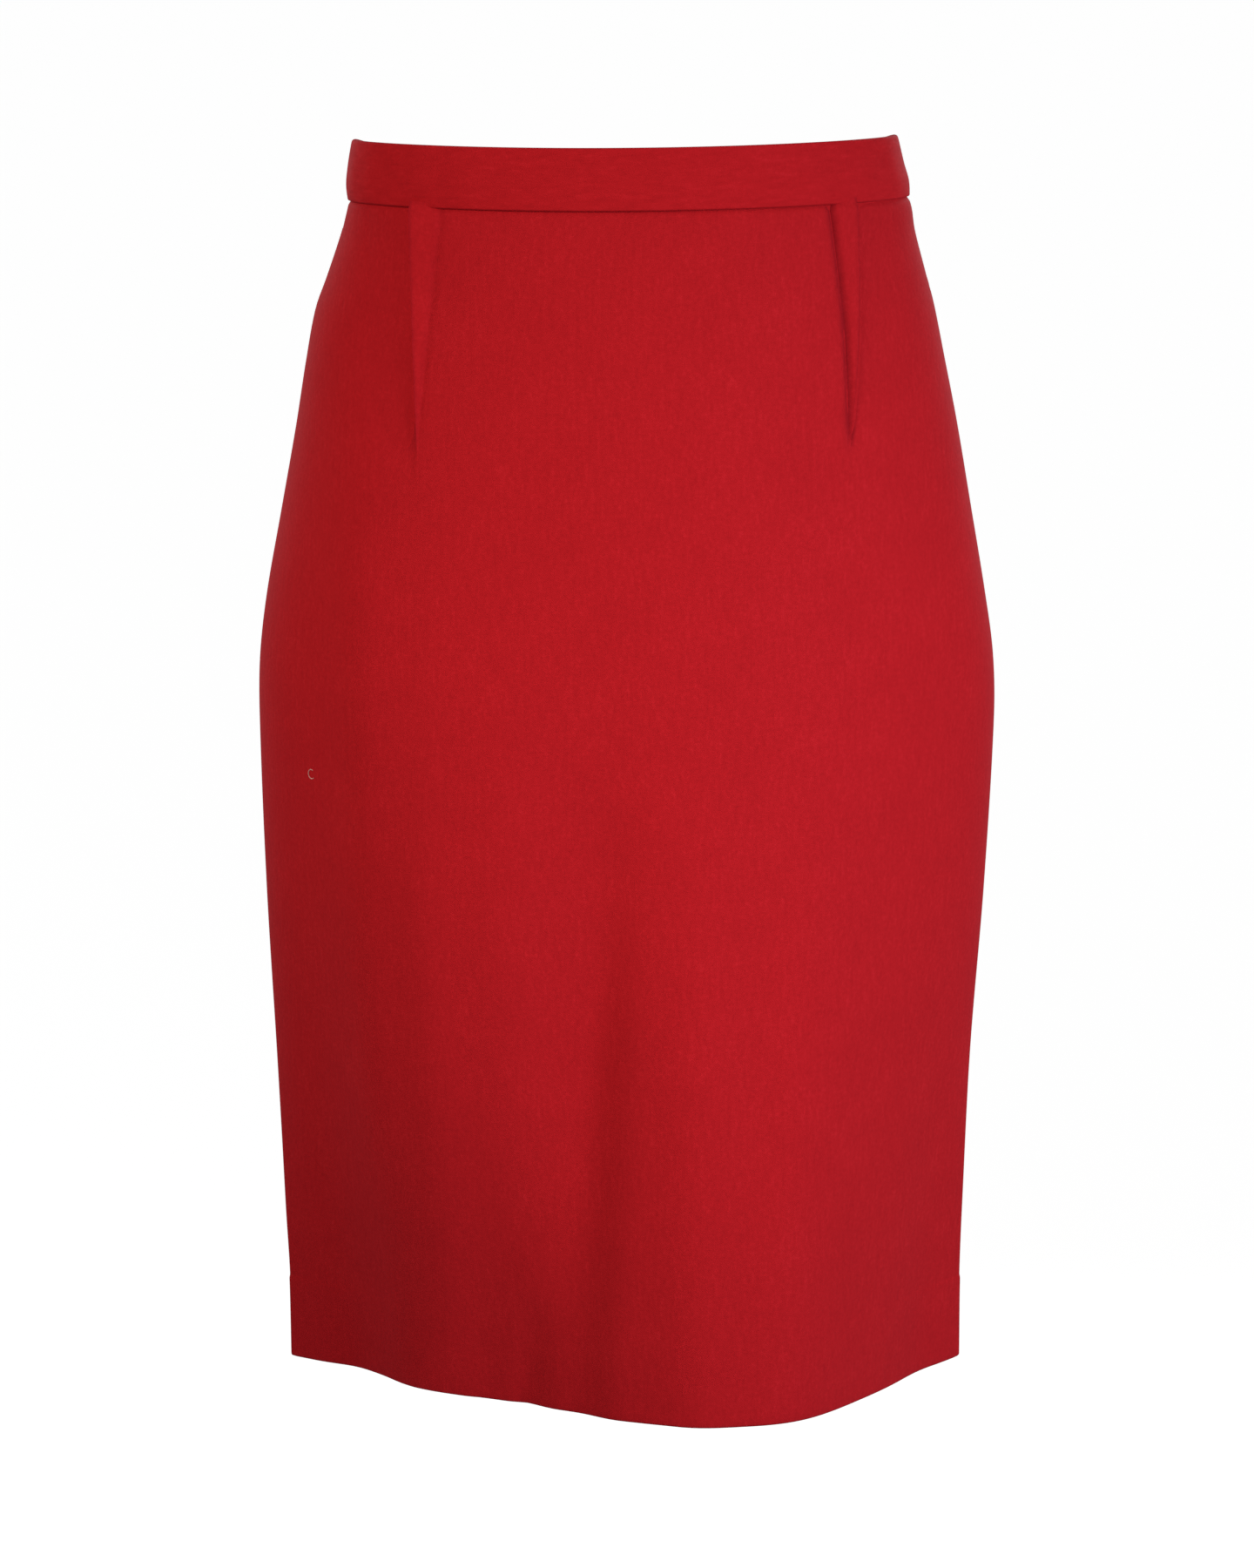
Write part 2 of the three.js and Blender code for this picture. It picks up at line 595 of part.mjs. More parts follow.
// Button: a round disc with four holes. Its frame has Z outwards and the origin on its underside.
function buttonGeometry() {
  const disc = new THREE.Shape().absarc(0, 0, button.diameter / 2 - button.bevel, 0, Math.PI * 2, false);
  for (const [sx, sy] of [[1, 1], [-1, 1], [-1, -1], [1, -1]]) {
    const hole = new THREE.Path();
    hole.absarc(sx * button.holeOffset, sy * button.holeOffset, button.holeRadius, 0, Math.PI * 2, true);
    disc.holes.push(hole);
  }
  const flat = { depth: button.thickness - 2 * button.bevel, curveSegments: 7 };
  const rounded = { bevelThickness: button.bevel, bevelSize: button.bevel, bevelSegments: 1 };
  const made = new THREE.ExtrudeGeometry(disc, { ...flat, ...rounded });
  made.translate(0, 0, button.bevel);
  return made;
}

const skirt = new THREE.Group();
skirt.name = "pencil_skirt";

function add(name, geometry, look, parent = skirt) {
  const mesh = new THREE.Mesh(geometry, new THREE.MeshStandardMaterial(look));
  mesh.name = name;
  parent.add(mesh);
  return mesh;
}

add("front_panel", frontPanel(), redCrepe);
add("back_panel_left", backPanelLeft(), redCrepe);
add("back_panel_right", backPanelRight(), redCrepe);
add("waistband", waistbandGeometry(), redCrepe);
add("zip_tape_left", zipTape(1), redTape);
add("zip_tape_right", zipTape(-1), redTape);
add("zip_coil", zipCoil(), redTape);

// The slider stands square to the cloth at the top of the zip.
const sliderPlace = new THREE.Group();
sliderPlace.position.copy(skin(180, slider.centre));
const out = skinNormal(180, slider.centre);
sliderPlace.rotation.x = Math.atan2(out.z, out.y);
skirt.add(sliderPlace);
add("zip_slider", sliderGeometry(), paintedMetal, sliderPlace);

// The tab lies down the cloth: it turns from the bridge's eye towards a point just off the cloth.
const axis = skin(180, slider.centre).addScaledVector(out, tab.axisOut);
const tipDrop = slider.centre + tab.length - 1;
const tip = skin(180, tipDrop).addScaledVector(skinNormal(180, tipDrop), tab.thickness / 2 + tab.offCloth);
const tabPlace = new THREE.Group();
tabPlace.position.copy(axis);
tabPlace.rotation.x = Math.atan2(tip.y - axis.y, axis.z - tip.z);
skirt.add(tabPlace);
add("zip_pull_tab", tabGeometry(), paintedMetal, tabPlace);

// The button lies flat on the band's overlapping end.
const buttonAngle = angleOf("back", button.across, between(bandSections, "up", 0));
const buttonOut = bandNormal(buttonAngle, 0);
const buttonPlace = new THREE.Group();
buttonPlace.position.copy(bandSkin(buttonAngle, 0).addScaledVector(buttonOut, button.seat));
buttonPlace.quaternion.setFromUnitVectors(new THREE.Vector3(0, 0, 1), buttonOut);
skirt.add(buttonPlace);
add("waist_button", buttonGeometry(), redButton, buttonPlace);

export default skirt;
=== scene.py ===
# A knee-length pencil skirt of red wool crepe, hollow as when worn, put together in the maker's order.
# The tables are in the garment's own millimetres; every mesh is in metres, in the frame's axes.
import math
from collections import namedtuple

import bmesh
import bpy
import numpy as np
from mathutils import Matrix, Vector


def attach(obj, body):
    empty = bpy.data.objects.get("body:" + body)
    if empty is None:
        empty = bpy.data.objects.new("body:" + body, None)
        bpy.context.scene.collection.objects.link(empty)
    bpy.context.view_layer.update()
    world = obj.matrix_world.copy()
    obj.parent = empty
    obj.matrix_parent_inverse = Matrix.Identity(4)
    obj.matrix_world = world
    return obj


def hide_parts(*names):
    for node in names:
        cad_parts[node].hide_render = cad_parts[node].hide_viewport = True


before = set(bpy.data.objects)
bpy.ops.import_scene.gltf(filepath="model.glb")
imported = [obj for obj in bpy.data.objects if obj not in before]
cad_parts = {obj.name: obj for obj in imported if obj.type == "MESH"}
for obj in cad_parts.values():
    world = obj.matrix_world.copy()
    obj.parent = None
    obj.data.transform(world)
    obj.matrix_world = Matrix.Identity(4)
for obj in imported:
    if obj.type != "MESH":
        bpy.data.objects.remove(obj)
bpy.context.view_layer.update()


# Front: one piece of red wool crepe with the grain running down it, shaped by two waist darts.
# It is sewn to the two backs at the side seams and to the waistband, and its hem is turned up inside.
MM = 0.001
CLOTH_THICKNESS = 1.3
SEAM_GAP = 0.3
BAND_HEIGHT = 29
HEM_DROP = 560.5
HEM_TURN_UP = 40
HEM_THICKNESS = 2.7
HEM_STEP = 0.4
HEM_STEP_MIDDLE = 0.07
FRONT_RISE = 0.6
SIDE_RISE = 2.3
TILT = 1.1
BACK_DIP = 11
BACK_SWING = 0.6

# The outer form: a row for each level, counted down from the waist seam. left and right are half
# widths, front and back are depths, corner squares the sides off and swing turns the loose lower part.
Level = namedtuple("Level", "drop left right front back corner swing")
LEVELS = [
    Level(0, 131.7, 133.2, 86.0, 82.0, 1.0, 0),
    Level(5.5, 133.0, 134.8, 88.0, 84.2, 1.0, 0),
    Level(15.5, 135.6, 136.3, 91.0, 88.0, 1.01, 0),
    Level(35.5, 142.3, 141.6, 96.5, 95.0, 1.03, 0),
    Level(50.5, 147.7, 145.6, 100.0, 100.5, 1.04, 0),
    Level(75.5, 152.5, 150.8, 105.0, 109.5, 1.05, 0),
    Level(105.5, 157.4, 156.9, 109.5, 117.5, 1.06, 0),
    Level(145.5, 164.8, 164.0, 113.0, 123.5, 1.08, 0),
    Level(185.5, 172.2, 171.0, 115.0, 125.5, 1.1, -0.5),
    Level(215.5, 175.8, 175.3, 116.0, 124.5, 1.13, -0.5),
    Level(245.5, 176.3, 176.2, 116.5, 122.5, 1.17, 0),
    Level(325.5, 174.0, 172.4, 117.0, 117.0, 1.32, 2),
    Level(405.5, 170.2, 166.9, 117.5, 112.5, 1.58, 8),
    Level(485.5, 166.8, 163.8, 118.0, 109.5, 1.9, 16),
    Level(520.5, 165.0, 162.8, 118.0, 108.5, 2.05, 19),
    Level(560.5, 164.4, 162.7, 118.0, 108.0, 2.2, 22),
]

# The largest folds, soft troughs (depth below 0) and ridges, from a drop down to the hem, where the
# kept share of their depth is left.
Fold = namedtuple("Fold", "front across_top across_hem begins full width depth kept")
FOLDS = [
    Fold(True, 2, -16, 215, 430, 17, -4.0, 1),
    Fold(True, -8, -26, 170, 400, 28, -6.5, 0),
    Fold(True, 9, -9, 240, 430, 12, 4.0, 1),
    Fold(True, 28, 34, 230, 440, 24, 4.0, 1),
    Fold(True, -60, -60, 120, 330, 24, 4.5, 0),
    Fold(True, -101, -91, 130, 500, 22, 9.0, 1),
    Fold(True, -122, -106, 300, 450, 12, 3.5, 1),
    Fold(True, -116, -104, 10, 230, 42, 9.0, 0),
    Fold(True, -127, -122, 60, 240, 13, 4.0, 0),
    Fold(True, -160, -131, 230, 500, 13, -4.0, 1),
    Fold(True, -40, -46, 500, 556, 8, -3.0, 1),
    Fold(True, 94, 83, 200, 520, 27, 9.0, 1),
    Fold(True, 152, 141, 320, 540, 12, -5.0, 1),
    Fold(False, -70, -80, 190, 480, 26, 7.0, 1),
    Fold(False, 66, 82, 200, 480, 26, 6.5, 1),
    Fold(False, -26, -38, 210, 400, 18, -3.0, 1),
    Fold(False, 128, 122, 260, 500, 16, -3.0, 1),
]

HEM_CALM = (400, 550)

# Small creases, each a soft line from one place (across, drop) to another.
Crease = namedtuple("Crease", "front across_from drop_from across_to drop_to width depth")
CREASES = [
    Crease(True, -44, 506, -48, 562, 3.5, -0.7),
    Crease(True, -97, 112, -101, 330, 9, -0.35),
    Crease(True, 104, 116, 110, 300, 11, -0.3),
    Crease(True, -122, 470, -116, 562, 5, -0.6),
    Crease(True, -8, 300, -20, 470, 7, -0.6),
    Crease(True, 60, 420, 64, 562, 10, 0.4),
    Crease(True, -70, 540, -76, 562, 5, 0.5),
    Crease(True, 20, 548, 18, 562, 6, -0.5),
    Crease(True, -150, 20, -128, 60, 9, -0.3),
    Crease(False, 70, 132, 78, 300, 9, -0.4),
    Crease(False, -70, 132, -80, 330, 10, -0.45),
    Crease(False, 8, 188, 26, 250, 6, -0.5),
    Crease(False, -10, 190, -34, 262, 7, -0.45),
    Crease(False, -110, 420, -104, 562, 8, -0.7),
    Crease(False, 60, 470, 54, 562, 6, -0.6),
    Crease(False, 110, 330, 104, 480, 10, -0.4),
]

# Darts: the stitched line's distance from the middle at the waist and at the tip, its bow, the
# ironed wedge's width at the waist, its length, the rise of its fold, the narrow groove along the
# stitches, the wide hollow beyond them, the dent that the wedge's inner edge presses, how soon the
# wedge swells (below 1 is sooner) and how dark the painted shade lies in a band beyond it.
Dart = namedtuple(
    "Dart", "front sign seam_top seam_tip bow intake length rise groove hollow dent swell dulled"
)
FRONT_LEFT_DART = Dart(True, 1, 105.9, 102.9, 2.4, 12.0, 112, 2.2, 3.0, 0.7, 1.4, 0.4, 0)
FRONT_RIGHT_DART = Dart(True, -1, 98.9, 96.8, 0, 13.2, 111, 4.4, 0.8, 4.4, 0.3, 1, 0.8)
BACK_LEFT_DART = Dart(False, 1, 66, 70, 0.5, 13, 128, 2.2, 1.4, 1.4, 1.0, 0.7, 0)
BACK_RIGHT_DART = Dart(False, -1, 66, 70, 0.5, 13, 128, 2.2, 1.4, 1.4, 1.0, 0.7, 0)
DARTS = [FRONT_LEFT_DART, FRONT_RIGHT_DART, BACK_LEFT_DART, BACK_RIGHT_DART]
DART_FOLD = 0.5
GROOVE_WIDTH = 1.8
HOLLOW_WIDTH = 6.5
DENT_WIDTH = 1.7
LEAST_WEDGE = 2.2
# Widths of the painted shade along a dart's stitched line and in the band beyond it; FULL_DENT is the dent
# that gives full painted shade at the wedge's inner edge.
SHADE_LINE_WIDTH = 1.3
SHADE_BAND_WIDTH = 9
FULL_DENT = 1.5


def smooth(value, low, high):
    share = np.clip((value - low) / (high - low), 0, 1)
    return share * share * (3 - 2 * share)


def between(rows, key, level):
    """The table's columns at each level, on a smooth curve through its rows."""
    table = np.array(rows, float)
    places = table[:, rows[0]._fields.index(key)]
    level = np.clip(np.asarray(level, float), places[0], places[-1])
    low = np.clip(np.searchsorted(places, level) - 1, 0, len(places) - 2)
    before = np.maximum(np.arange(len(places)) - 1, 0)
    after = np.minimum(np.arange(len(places)) + 1, len(places) - 1)
    slopes = (table[after] - table[before]) / (places[after] - places[before])[:, None]
    span = places[low + 1] - places[low]
    t = ((level - places[low]) / span)[..., None]
    near = (2 * t**3 - 3 * t**2 + 1) * table[low] + (t**3 - 2 * t**2 + t) * slopes[low] * span[..., None]
    far = (3 * t**2 - 2 * t**3) * table[low + 1] + (t**3 - t**2) * slopes[low + 1] * span[..., None]
    return rows[0]._make(np.moveaxis(near + far, -1, 0))


def waist_shift(turn):
    """How much higher the waist lies at a turn: it rises at the sides, dips at the back and tilts."""
    side = np.sin(turn)
    back = smooth(np.clip(-np.cos(turn), 0, 1), 0, 1)
    return FRONT_RISE + SIDE_RISE * side**2 + TILT * side - BACK_DIP * back


def fold_push(front, across, drop):
    """Outward push of the folds and creases at places across the cloth."""
    push = np.zeros_like(across)
    for fold in FOLDS:
        down = np.clip((drop - fold.begins) / (HEM_DROP - fold.begins), 0, 1)
        away = (across - fold.across_top - (fold.across_hem - fold.across_top) * down) / fold.width
        strength = fold.depth * smooth(drop, fold.begins, fold.full) * (
            1 - (1 - fold.kept) * smooth(drop, *HEM_CALM)
        )
        push += (front == fold.front) * strength * np.exp(-away * away)
    for crease in CREASES:
        run = np.array([crease.across_to - crease.across_from, crease.drop_to - crease.drop_from])
        offset = np.stack([across - crease.across_from, drop - crease.drop_from], -1)
        share = np.clip(offset @ run / (run @ run), 0, 1)
        away = np.linalg.norm(offset - share[..., None] * run, axis=-1) / crease.width
        ends = smooth(share, 0, 0.4) * (1 - (crease.drop_to < HEM_DROP) * smooth(share, 0.6, 1))
        push += (front == crease.front) * crease.depth * ends * np.exp(-away * away)
    return push


def cloth_form(turn, drop):
    """Outer face of the cloth. turn is 0 at the centre front, a right angle at the wearer's left side."""
    row = between(LEVELS, "drop", drop)
    width = np.where(np.sin(turn) >= 0, row.right, row.left)
    across = width * np.sin(turn)
    cos = np.cos(turn)
    front = cos >= 0
    depth = np.where(front, row.front, row.back) * np.abs(cos) ** row.corner
    depth = depth + fold_push(front, across, drop) * smooth(np.abs(cos), 0, 0.35)
    swing = row.swing * np.sin(np.pi * across / width) * np.where(front, 1, BACK_SWING)
    height = -BAND_HEIGHT / 2 - drop + waist_shift(turn) * (1 - drop / HEM_DROP)
    return np.stack([across, np.where(front, -depth, depth) - swing, height], -1)


def outward(form, turn, drop, low=1, high=HEM_DROP - 1):
    """The outward normals of a form at turns and drops."""
    level = np.clip(drop, low, high)
    along = form(turn + 0.009, level) - form(turn - 0.009, level)
    down = form(turn, level + 0.8) - form(turn, level - 0.8)
    normal = np.cross(down, along)
    return normal / np.linalg.norm(normal, axis=-1, keepdims=True)


def turn_at(front, across, drop):
    """The turn of a place across the cloth."""
    row = between(LEVELS, "drop", drop)
    turn = np.arcsin(np.clip(across / np.where(np.asarray(across) >= 0, row.right, row.left), -1, 1))
    return turn if front else np.pi - turn


def dart_line(dart, drop):
    """Where a dart's stitched line lies, and how wide its ironed wedge is, at a drop."""
    down = np.minimum(drop / dart.length, 1)
    stitched = dart.seam_top + (dart.seam_tip - dart.seam_top) * down + dart.bow * np.sin(np.pi * down)
    return stitched, dart.intake * (1 - down)


def dart_relief(front, across, drop):
    """A wedge rises to the stitched fold, and beyond it the cloth drops into a groove and a hollow."""
    relief = np.zeros_like(across)
    for dart in DARTS:
        if dart.front != front:
            continue
        stitched, wedge = dart_line(dart, drop)
        beyond = dart.sign * across - stitched
        left = dart.length - drop
        on_wedge = np.clip(1 + beyond / np.maximum(wedge, 0.01), 0, 1)
        fallen = smooth(beyond, -DART_FOLD / 2, DART_FOLD / 2)
        past = np.maximum(beyond, 0)
        groove = dart.groove * np.exp(-past / GROOVE_WIDTH) * smooth(left, -1, 16)
        hollow = dart.hollow * past / HOLLOW_WIDTH * np.exp(1 - past / HOLLOW_WIDTH) * smooth(left, -22, 45)
        dent = dart.dent * np.exp(-(((beyond + wedge) / DENT_WIDTH) ** 2)) * smooth(left, -1, 20)
        rise = dart.rise * (np.clip(left, 0, None) / dart.length) ** 0.6
        relief += (1 - fallen) * (rise * on_wedge**dart.swell - dent) - fallen * groove - hollow
    return relief


def dart_painted_shade(front, across, drop):
    """Painted shade along the darts: darker cloth colour at the stitched line, at the wedge's inner edge and
    in a band beyond it.
    """
    marks = np.zeros_like(across)
    for dart in DARTS:
        stitched, wedge = dart_line(dart, drop)
        beyond = dart.sign * across - stitched
        line = np.exp(-(((beyond - 0.5) / SHADE_LINE_WIDTH) ** 2))
        edge = dart.dent / FULL_DENT * np.exp(-(((beyond + wedge) / (1.6 * SHADE_LINE_WIDTH)) ** 2))
        painted_band = dart.dulled * (beyond > 0) * np.exp(-((beyond / SHADE_BAND_WIDTH) ** 2))
        marks += (dart.front == front) * np.maximum(
            line, np.maximum(edge, painted_band)
        ) * smooth(dart.length - drop, -2, 12)
    return marks


def dart_stops(dart, drops, inwards):
    """Columns that follow a dart's lines, from its outer side inwards or the other way."""
    stitched, wedge = dart_line(dart, drops)
    wedge = np.maximum(wedge, LEAST_WEDGE)
    places = [stitched + 36, stitched + 8, stitched + 2.5, stitched + DART_FOLD / 2]
    places += [stitched - DART_FOLD / 2, stitched - 0.25 * wedge, stitched - 0.75 * wedge]
    places += [stitched - wedge - 1.5, stitched - wedge - 4]
    steps = [9, 5, 4, 1, 2, 4, 6, 3]
    if not inwards:
        places, steps = places[::-1], steps[::-1]
    return [(turn_at(dart.front, dart.sign * p, drops), s) for p, s in zip(places, steps + [0])]


def columns(stops):
    """Turns of all the columns, a row for each drop, from stops of (turns, steps to the next stop)."""
    made = []
    for (turns, steps), (following, _) in zip(stops, stops[1:]):
        made += [turns + (following - turns) * k / steps for k in range(steps)]
    return np.stack(made + [stops[-1][0]], axis=1)


def row_drops(*bands):
    """Drops of all the rows, from bands of (from, to, steps)."""
    parts = [np.linspace(low, high, steps, endpoint=False) for low, high, steps in bands]
    return np.concatenate(parts + [[bands[-1][1]]])


HEM_ROLL_STEPS = 5
WAIST_DIP = 1.1
TUCKED_IN = 2.5
CLOTH_ROWS = row_drops(
    (-TUCKED_IN, 0, 3), (0, 3, 6), (3, 15, 6), (15, 140, 34), (140, 385, 58), (385, 516, 32),
    (516, 524, 8), (524, HEM_DROP - HEM_THICKNESS / 2, 10),
)


def piece_of(name, points, faces, uv=None, material=None, body="garment"):
    """A finished piece from points in millimetres; uv is in metres, one for each point."""
    mesh = bpy.data.meshes.new(name)
    mesh.from_pydata((np.asarray(points) * MM).tolist(), [], faces)
    if uv is not None:
        layer = mesh.uv_layers.new(name="cloth")
        corners = np.empty(len(mesh.loops), np.int32)
        mesh.loops.foreach_get("vertex_index", corners)
        layer.data.foreach_set("uv", np.asarray(uv, np.float32)[corners].ravel())
    mesh.shade_smooth()
    mesh.set_sharp_from_angle(angle=math.radians(50))
    piece = bpy.data.objects.new(name, mesh)
    bpy.context.collection.objects.link(piece)
    if material:
        mesh.materials.append(material)
    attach(piece, body)
    return piece


def shell_faces(rows, count, rolled):
    """Faces of a closed wall whose rows run down the outside, round the lower edge and up the inside."""
    faces = []
    for r in range(rows):
        low, high = r * count, ((r + 1) % rows) * count
        faces += [(low + c, high + c, high + c + 1, low + c + 1) for c in range(count - 1)]
    half = (rows - rolled) // 2
    for column, flip in ((0, True), (count - 1, False)):
        for r in range(half - 1):
            a, b = r * count + column, (r + 1) * count + column
            c, d = (rows - 2 - r) * count + column, (rows - 1 - r) * count + column
            faces.append((a, d, c, b) if flip else (a, b, c, d))
        roll = [(half - 1 + k) * count + column for k in range(rolled + 2)]
        faces.append(tuple(roll[::-1]) if flip else tuple(roll))
    return faces


def middle_of(across, drop):
    """The middle of the hollow at a place across it, where front and back walls meet at the sides."""
    row = between(LEVELS, "drop", drop)
    turn = np.arcsin(np.clip(across / np.where(across >= 0, row.right, row.left), -1, 1))
    return (cloth_form(turn, drop)[..., 1] + cloth_form(np.pi - turn, drop)[..., 1]) / 2


def panel(name, front, turns, drops, material, sink=None, edges=(True, True), inside=0.0, thick=None,
          relief=True):
    """A cloth wall between turns. sink moves it inwards, inside sets it behind another, thick is its own."""
    drop = np.repeat(drops[:, None], turns.shape[1], axis=1)
    base = cloth_form(turns, drop)
    normal = outward(cloth_form, turns, drop)
    normal[..., 1] *= smooth(np.abs(np.cos(turns)), 0, 0.15)
    if not front:
        normal[..., 0] *= smooth(np.abs(base[..., 0]), 1, 6)
    normal /= np.linalg.norm(normal, axis=-1, keepdims=True)
    lengths = np.linalg.norm(np.diff(base, axis=1), axis=-1)
    from_start = np.concatenate([np.zeros((len(drops), 1)), np.cumsum(lengths, axis=1)], axis=1)
    to_end = from_start[:, -1:] - from_start
    rise = np.zeros_like(drop)
    if relief:
        turned_up = smooth(drop, HEM_DROP - HEM_TURN_UP - 1, HEM_DROP - HEM_TURN_UP + 1)
        at_sides = smooth(np.abs(np.sin(turns)), 0.75, 0.97)
        rise += dart_relief(front, base[..., 0], drop)
        rise += (HEM_STEP_MIDDLE + (HEM_STEP - HEM_STEP_MIDDLE) * at_sides) * turned_up
        rise -= WAIST_DIP * (1 - smooth(drop, -1.5, 2.6))
        for is_seam, away in zip(edges, (from_start, to_end)):
            rise -= 0.55 * is_seam * np.exp(-((away / 0.9) ** 2))
        thickness = CLOTH_THICKNESS + (HEM_THICKNESS - CLOTH_THICKNESS) * turned_up
    else:
        thickness = np.full_like(drop, thick)
    under = inside + (sink(base[..., 0], drop) if sink else 0)
    outer = base + normal * (rise - under)[..., None]
    inner = base - normal * (thickness + under)[..., None]
    middle = middle_of(inner[..., 0], drop)
    inner[..., 1] = np.minimum(inner[..., 1], middle) if front else np.maximum(inner[..., 1], middle)
    if inside:
        outer[..., 1] = np.minimum(
            outer[..., 1], middle - 0.4
        ) if front else np.maximum(outer[..., 1], middle + 0.4)
    centre, across = (outer[-1] + inner[-1]) / 2, (outer[-1] - inner[-1]) / 2
    radius = np.linalg.norm(across, axis=-1, keepdims=True)
    roll = []
    for k in range(1, HEM_ROLL_STEPS + 1):
        bend = math.pi * k / (HEM_ROLL_STEPS + 1)
        roll.append(centre + across * math.cos(bend) - radius * math.sin(bend) * np.array([0, 0, 1]))
    points = np.concatenate([outer, np.array(roll), inner[::-1]])
    points[..., 1] += -SEAM_GAP / 2 if front else SEAM_GAP / 2
    reference = np.argmin(np.abs(base[:, :, 0]), axis=1)
    across_uv = from_start - np.take_along_axis(from_start, reference[:, None], axis=1)
    down_uv = np.repeat(drops[:, None], turns.shape[1], axis=1)
    uv = np.stack([across_uv, down_uv], -1)
    uv = np.concatenate([uv, np.repeat(uv[-1:], HEM_ROLL_STEPS, axis=0), uv[::-1]]) * MM
    faces = shell_faces(len(points), turns.shape[1], HEM_ROLL_STEPS)
    piece = piece_of(name, points.reshape(-1, 3), faces, uv.reshape(-1, 2), material)
    if relief:
        # Painted shade: the darts' lines and the band beyond them are darkened through a point attribute that
        # the cloth material reads.
        marks = dart_painted_shade(front, base[..., 0], drop)
        marks = np.concatenate([marks, np.zeros((HEM_ROLL_STEPS + len(drops), turns.shape[1]))])
        painted_dart_shade = piece.data.attributes.new("painted_dart_shade", "FLOAT", "POINT")
        painted_dart_shade.data.foreach_set("value", marks.ravel().astype(np.float32))
    return piece


def placed(tree, kind, inputs=None, **settings):
    """A node in a tree with its settings, its plain values and its links."""
    made = tree.nodes.new(kind)
    for key, value in settings.items():
        setattr(made, key, value)
    for key, value in (inputs or {}).items():
        if isinstance(value, bpy.types.NodeSocket):
            tree.links.new(value, made.inputs[key])
        else:
            made.inputs[key].default_value = value
    return made


def math_of(tree, operation, a, b=0.5):
    return placed(tree, "ShaderNodeMath", {0: a, 1: b}, operation=operation).outputs[0]


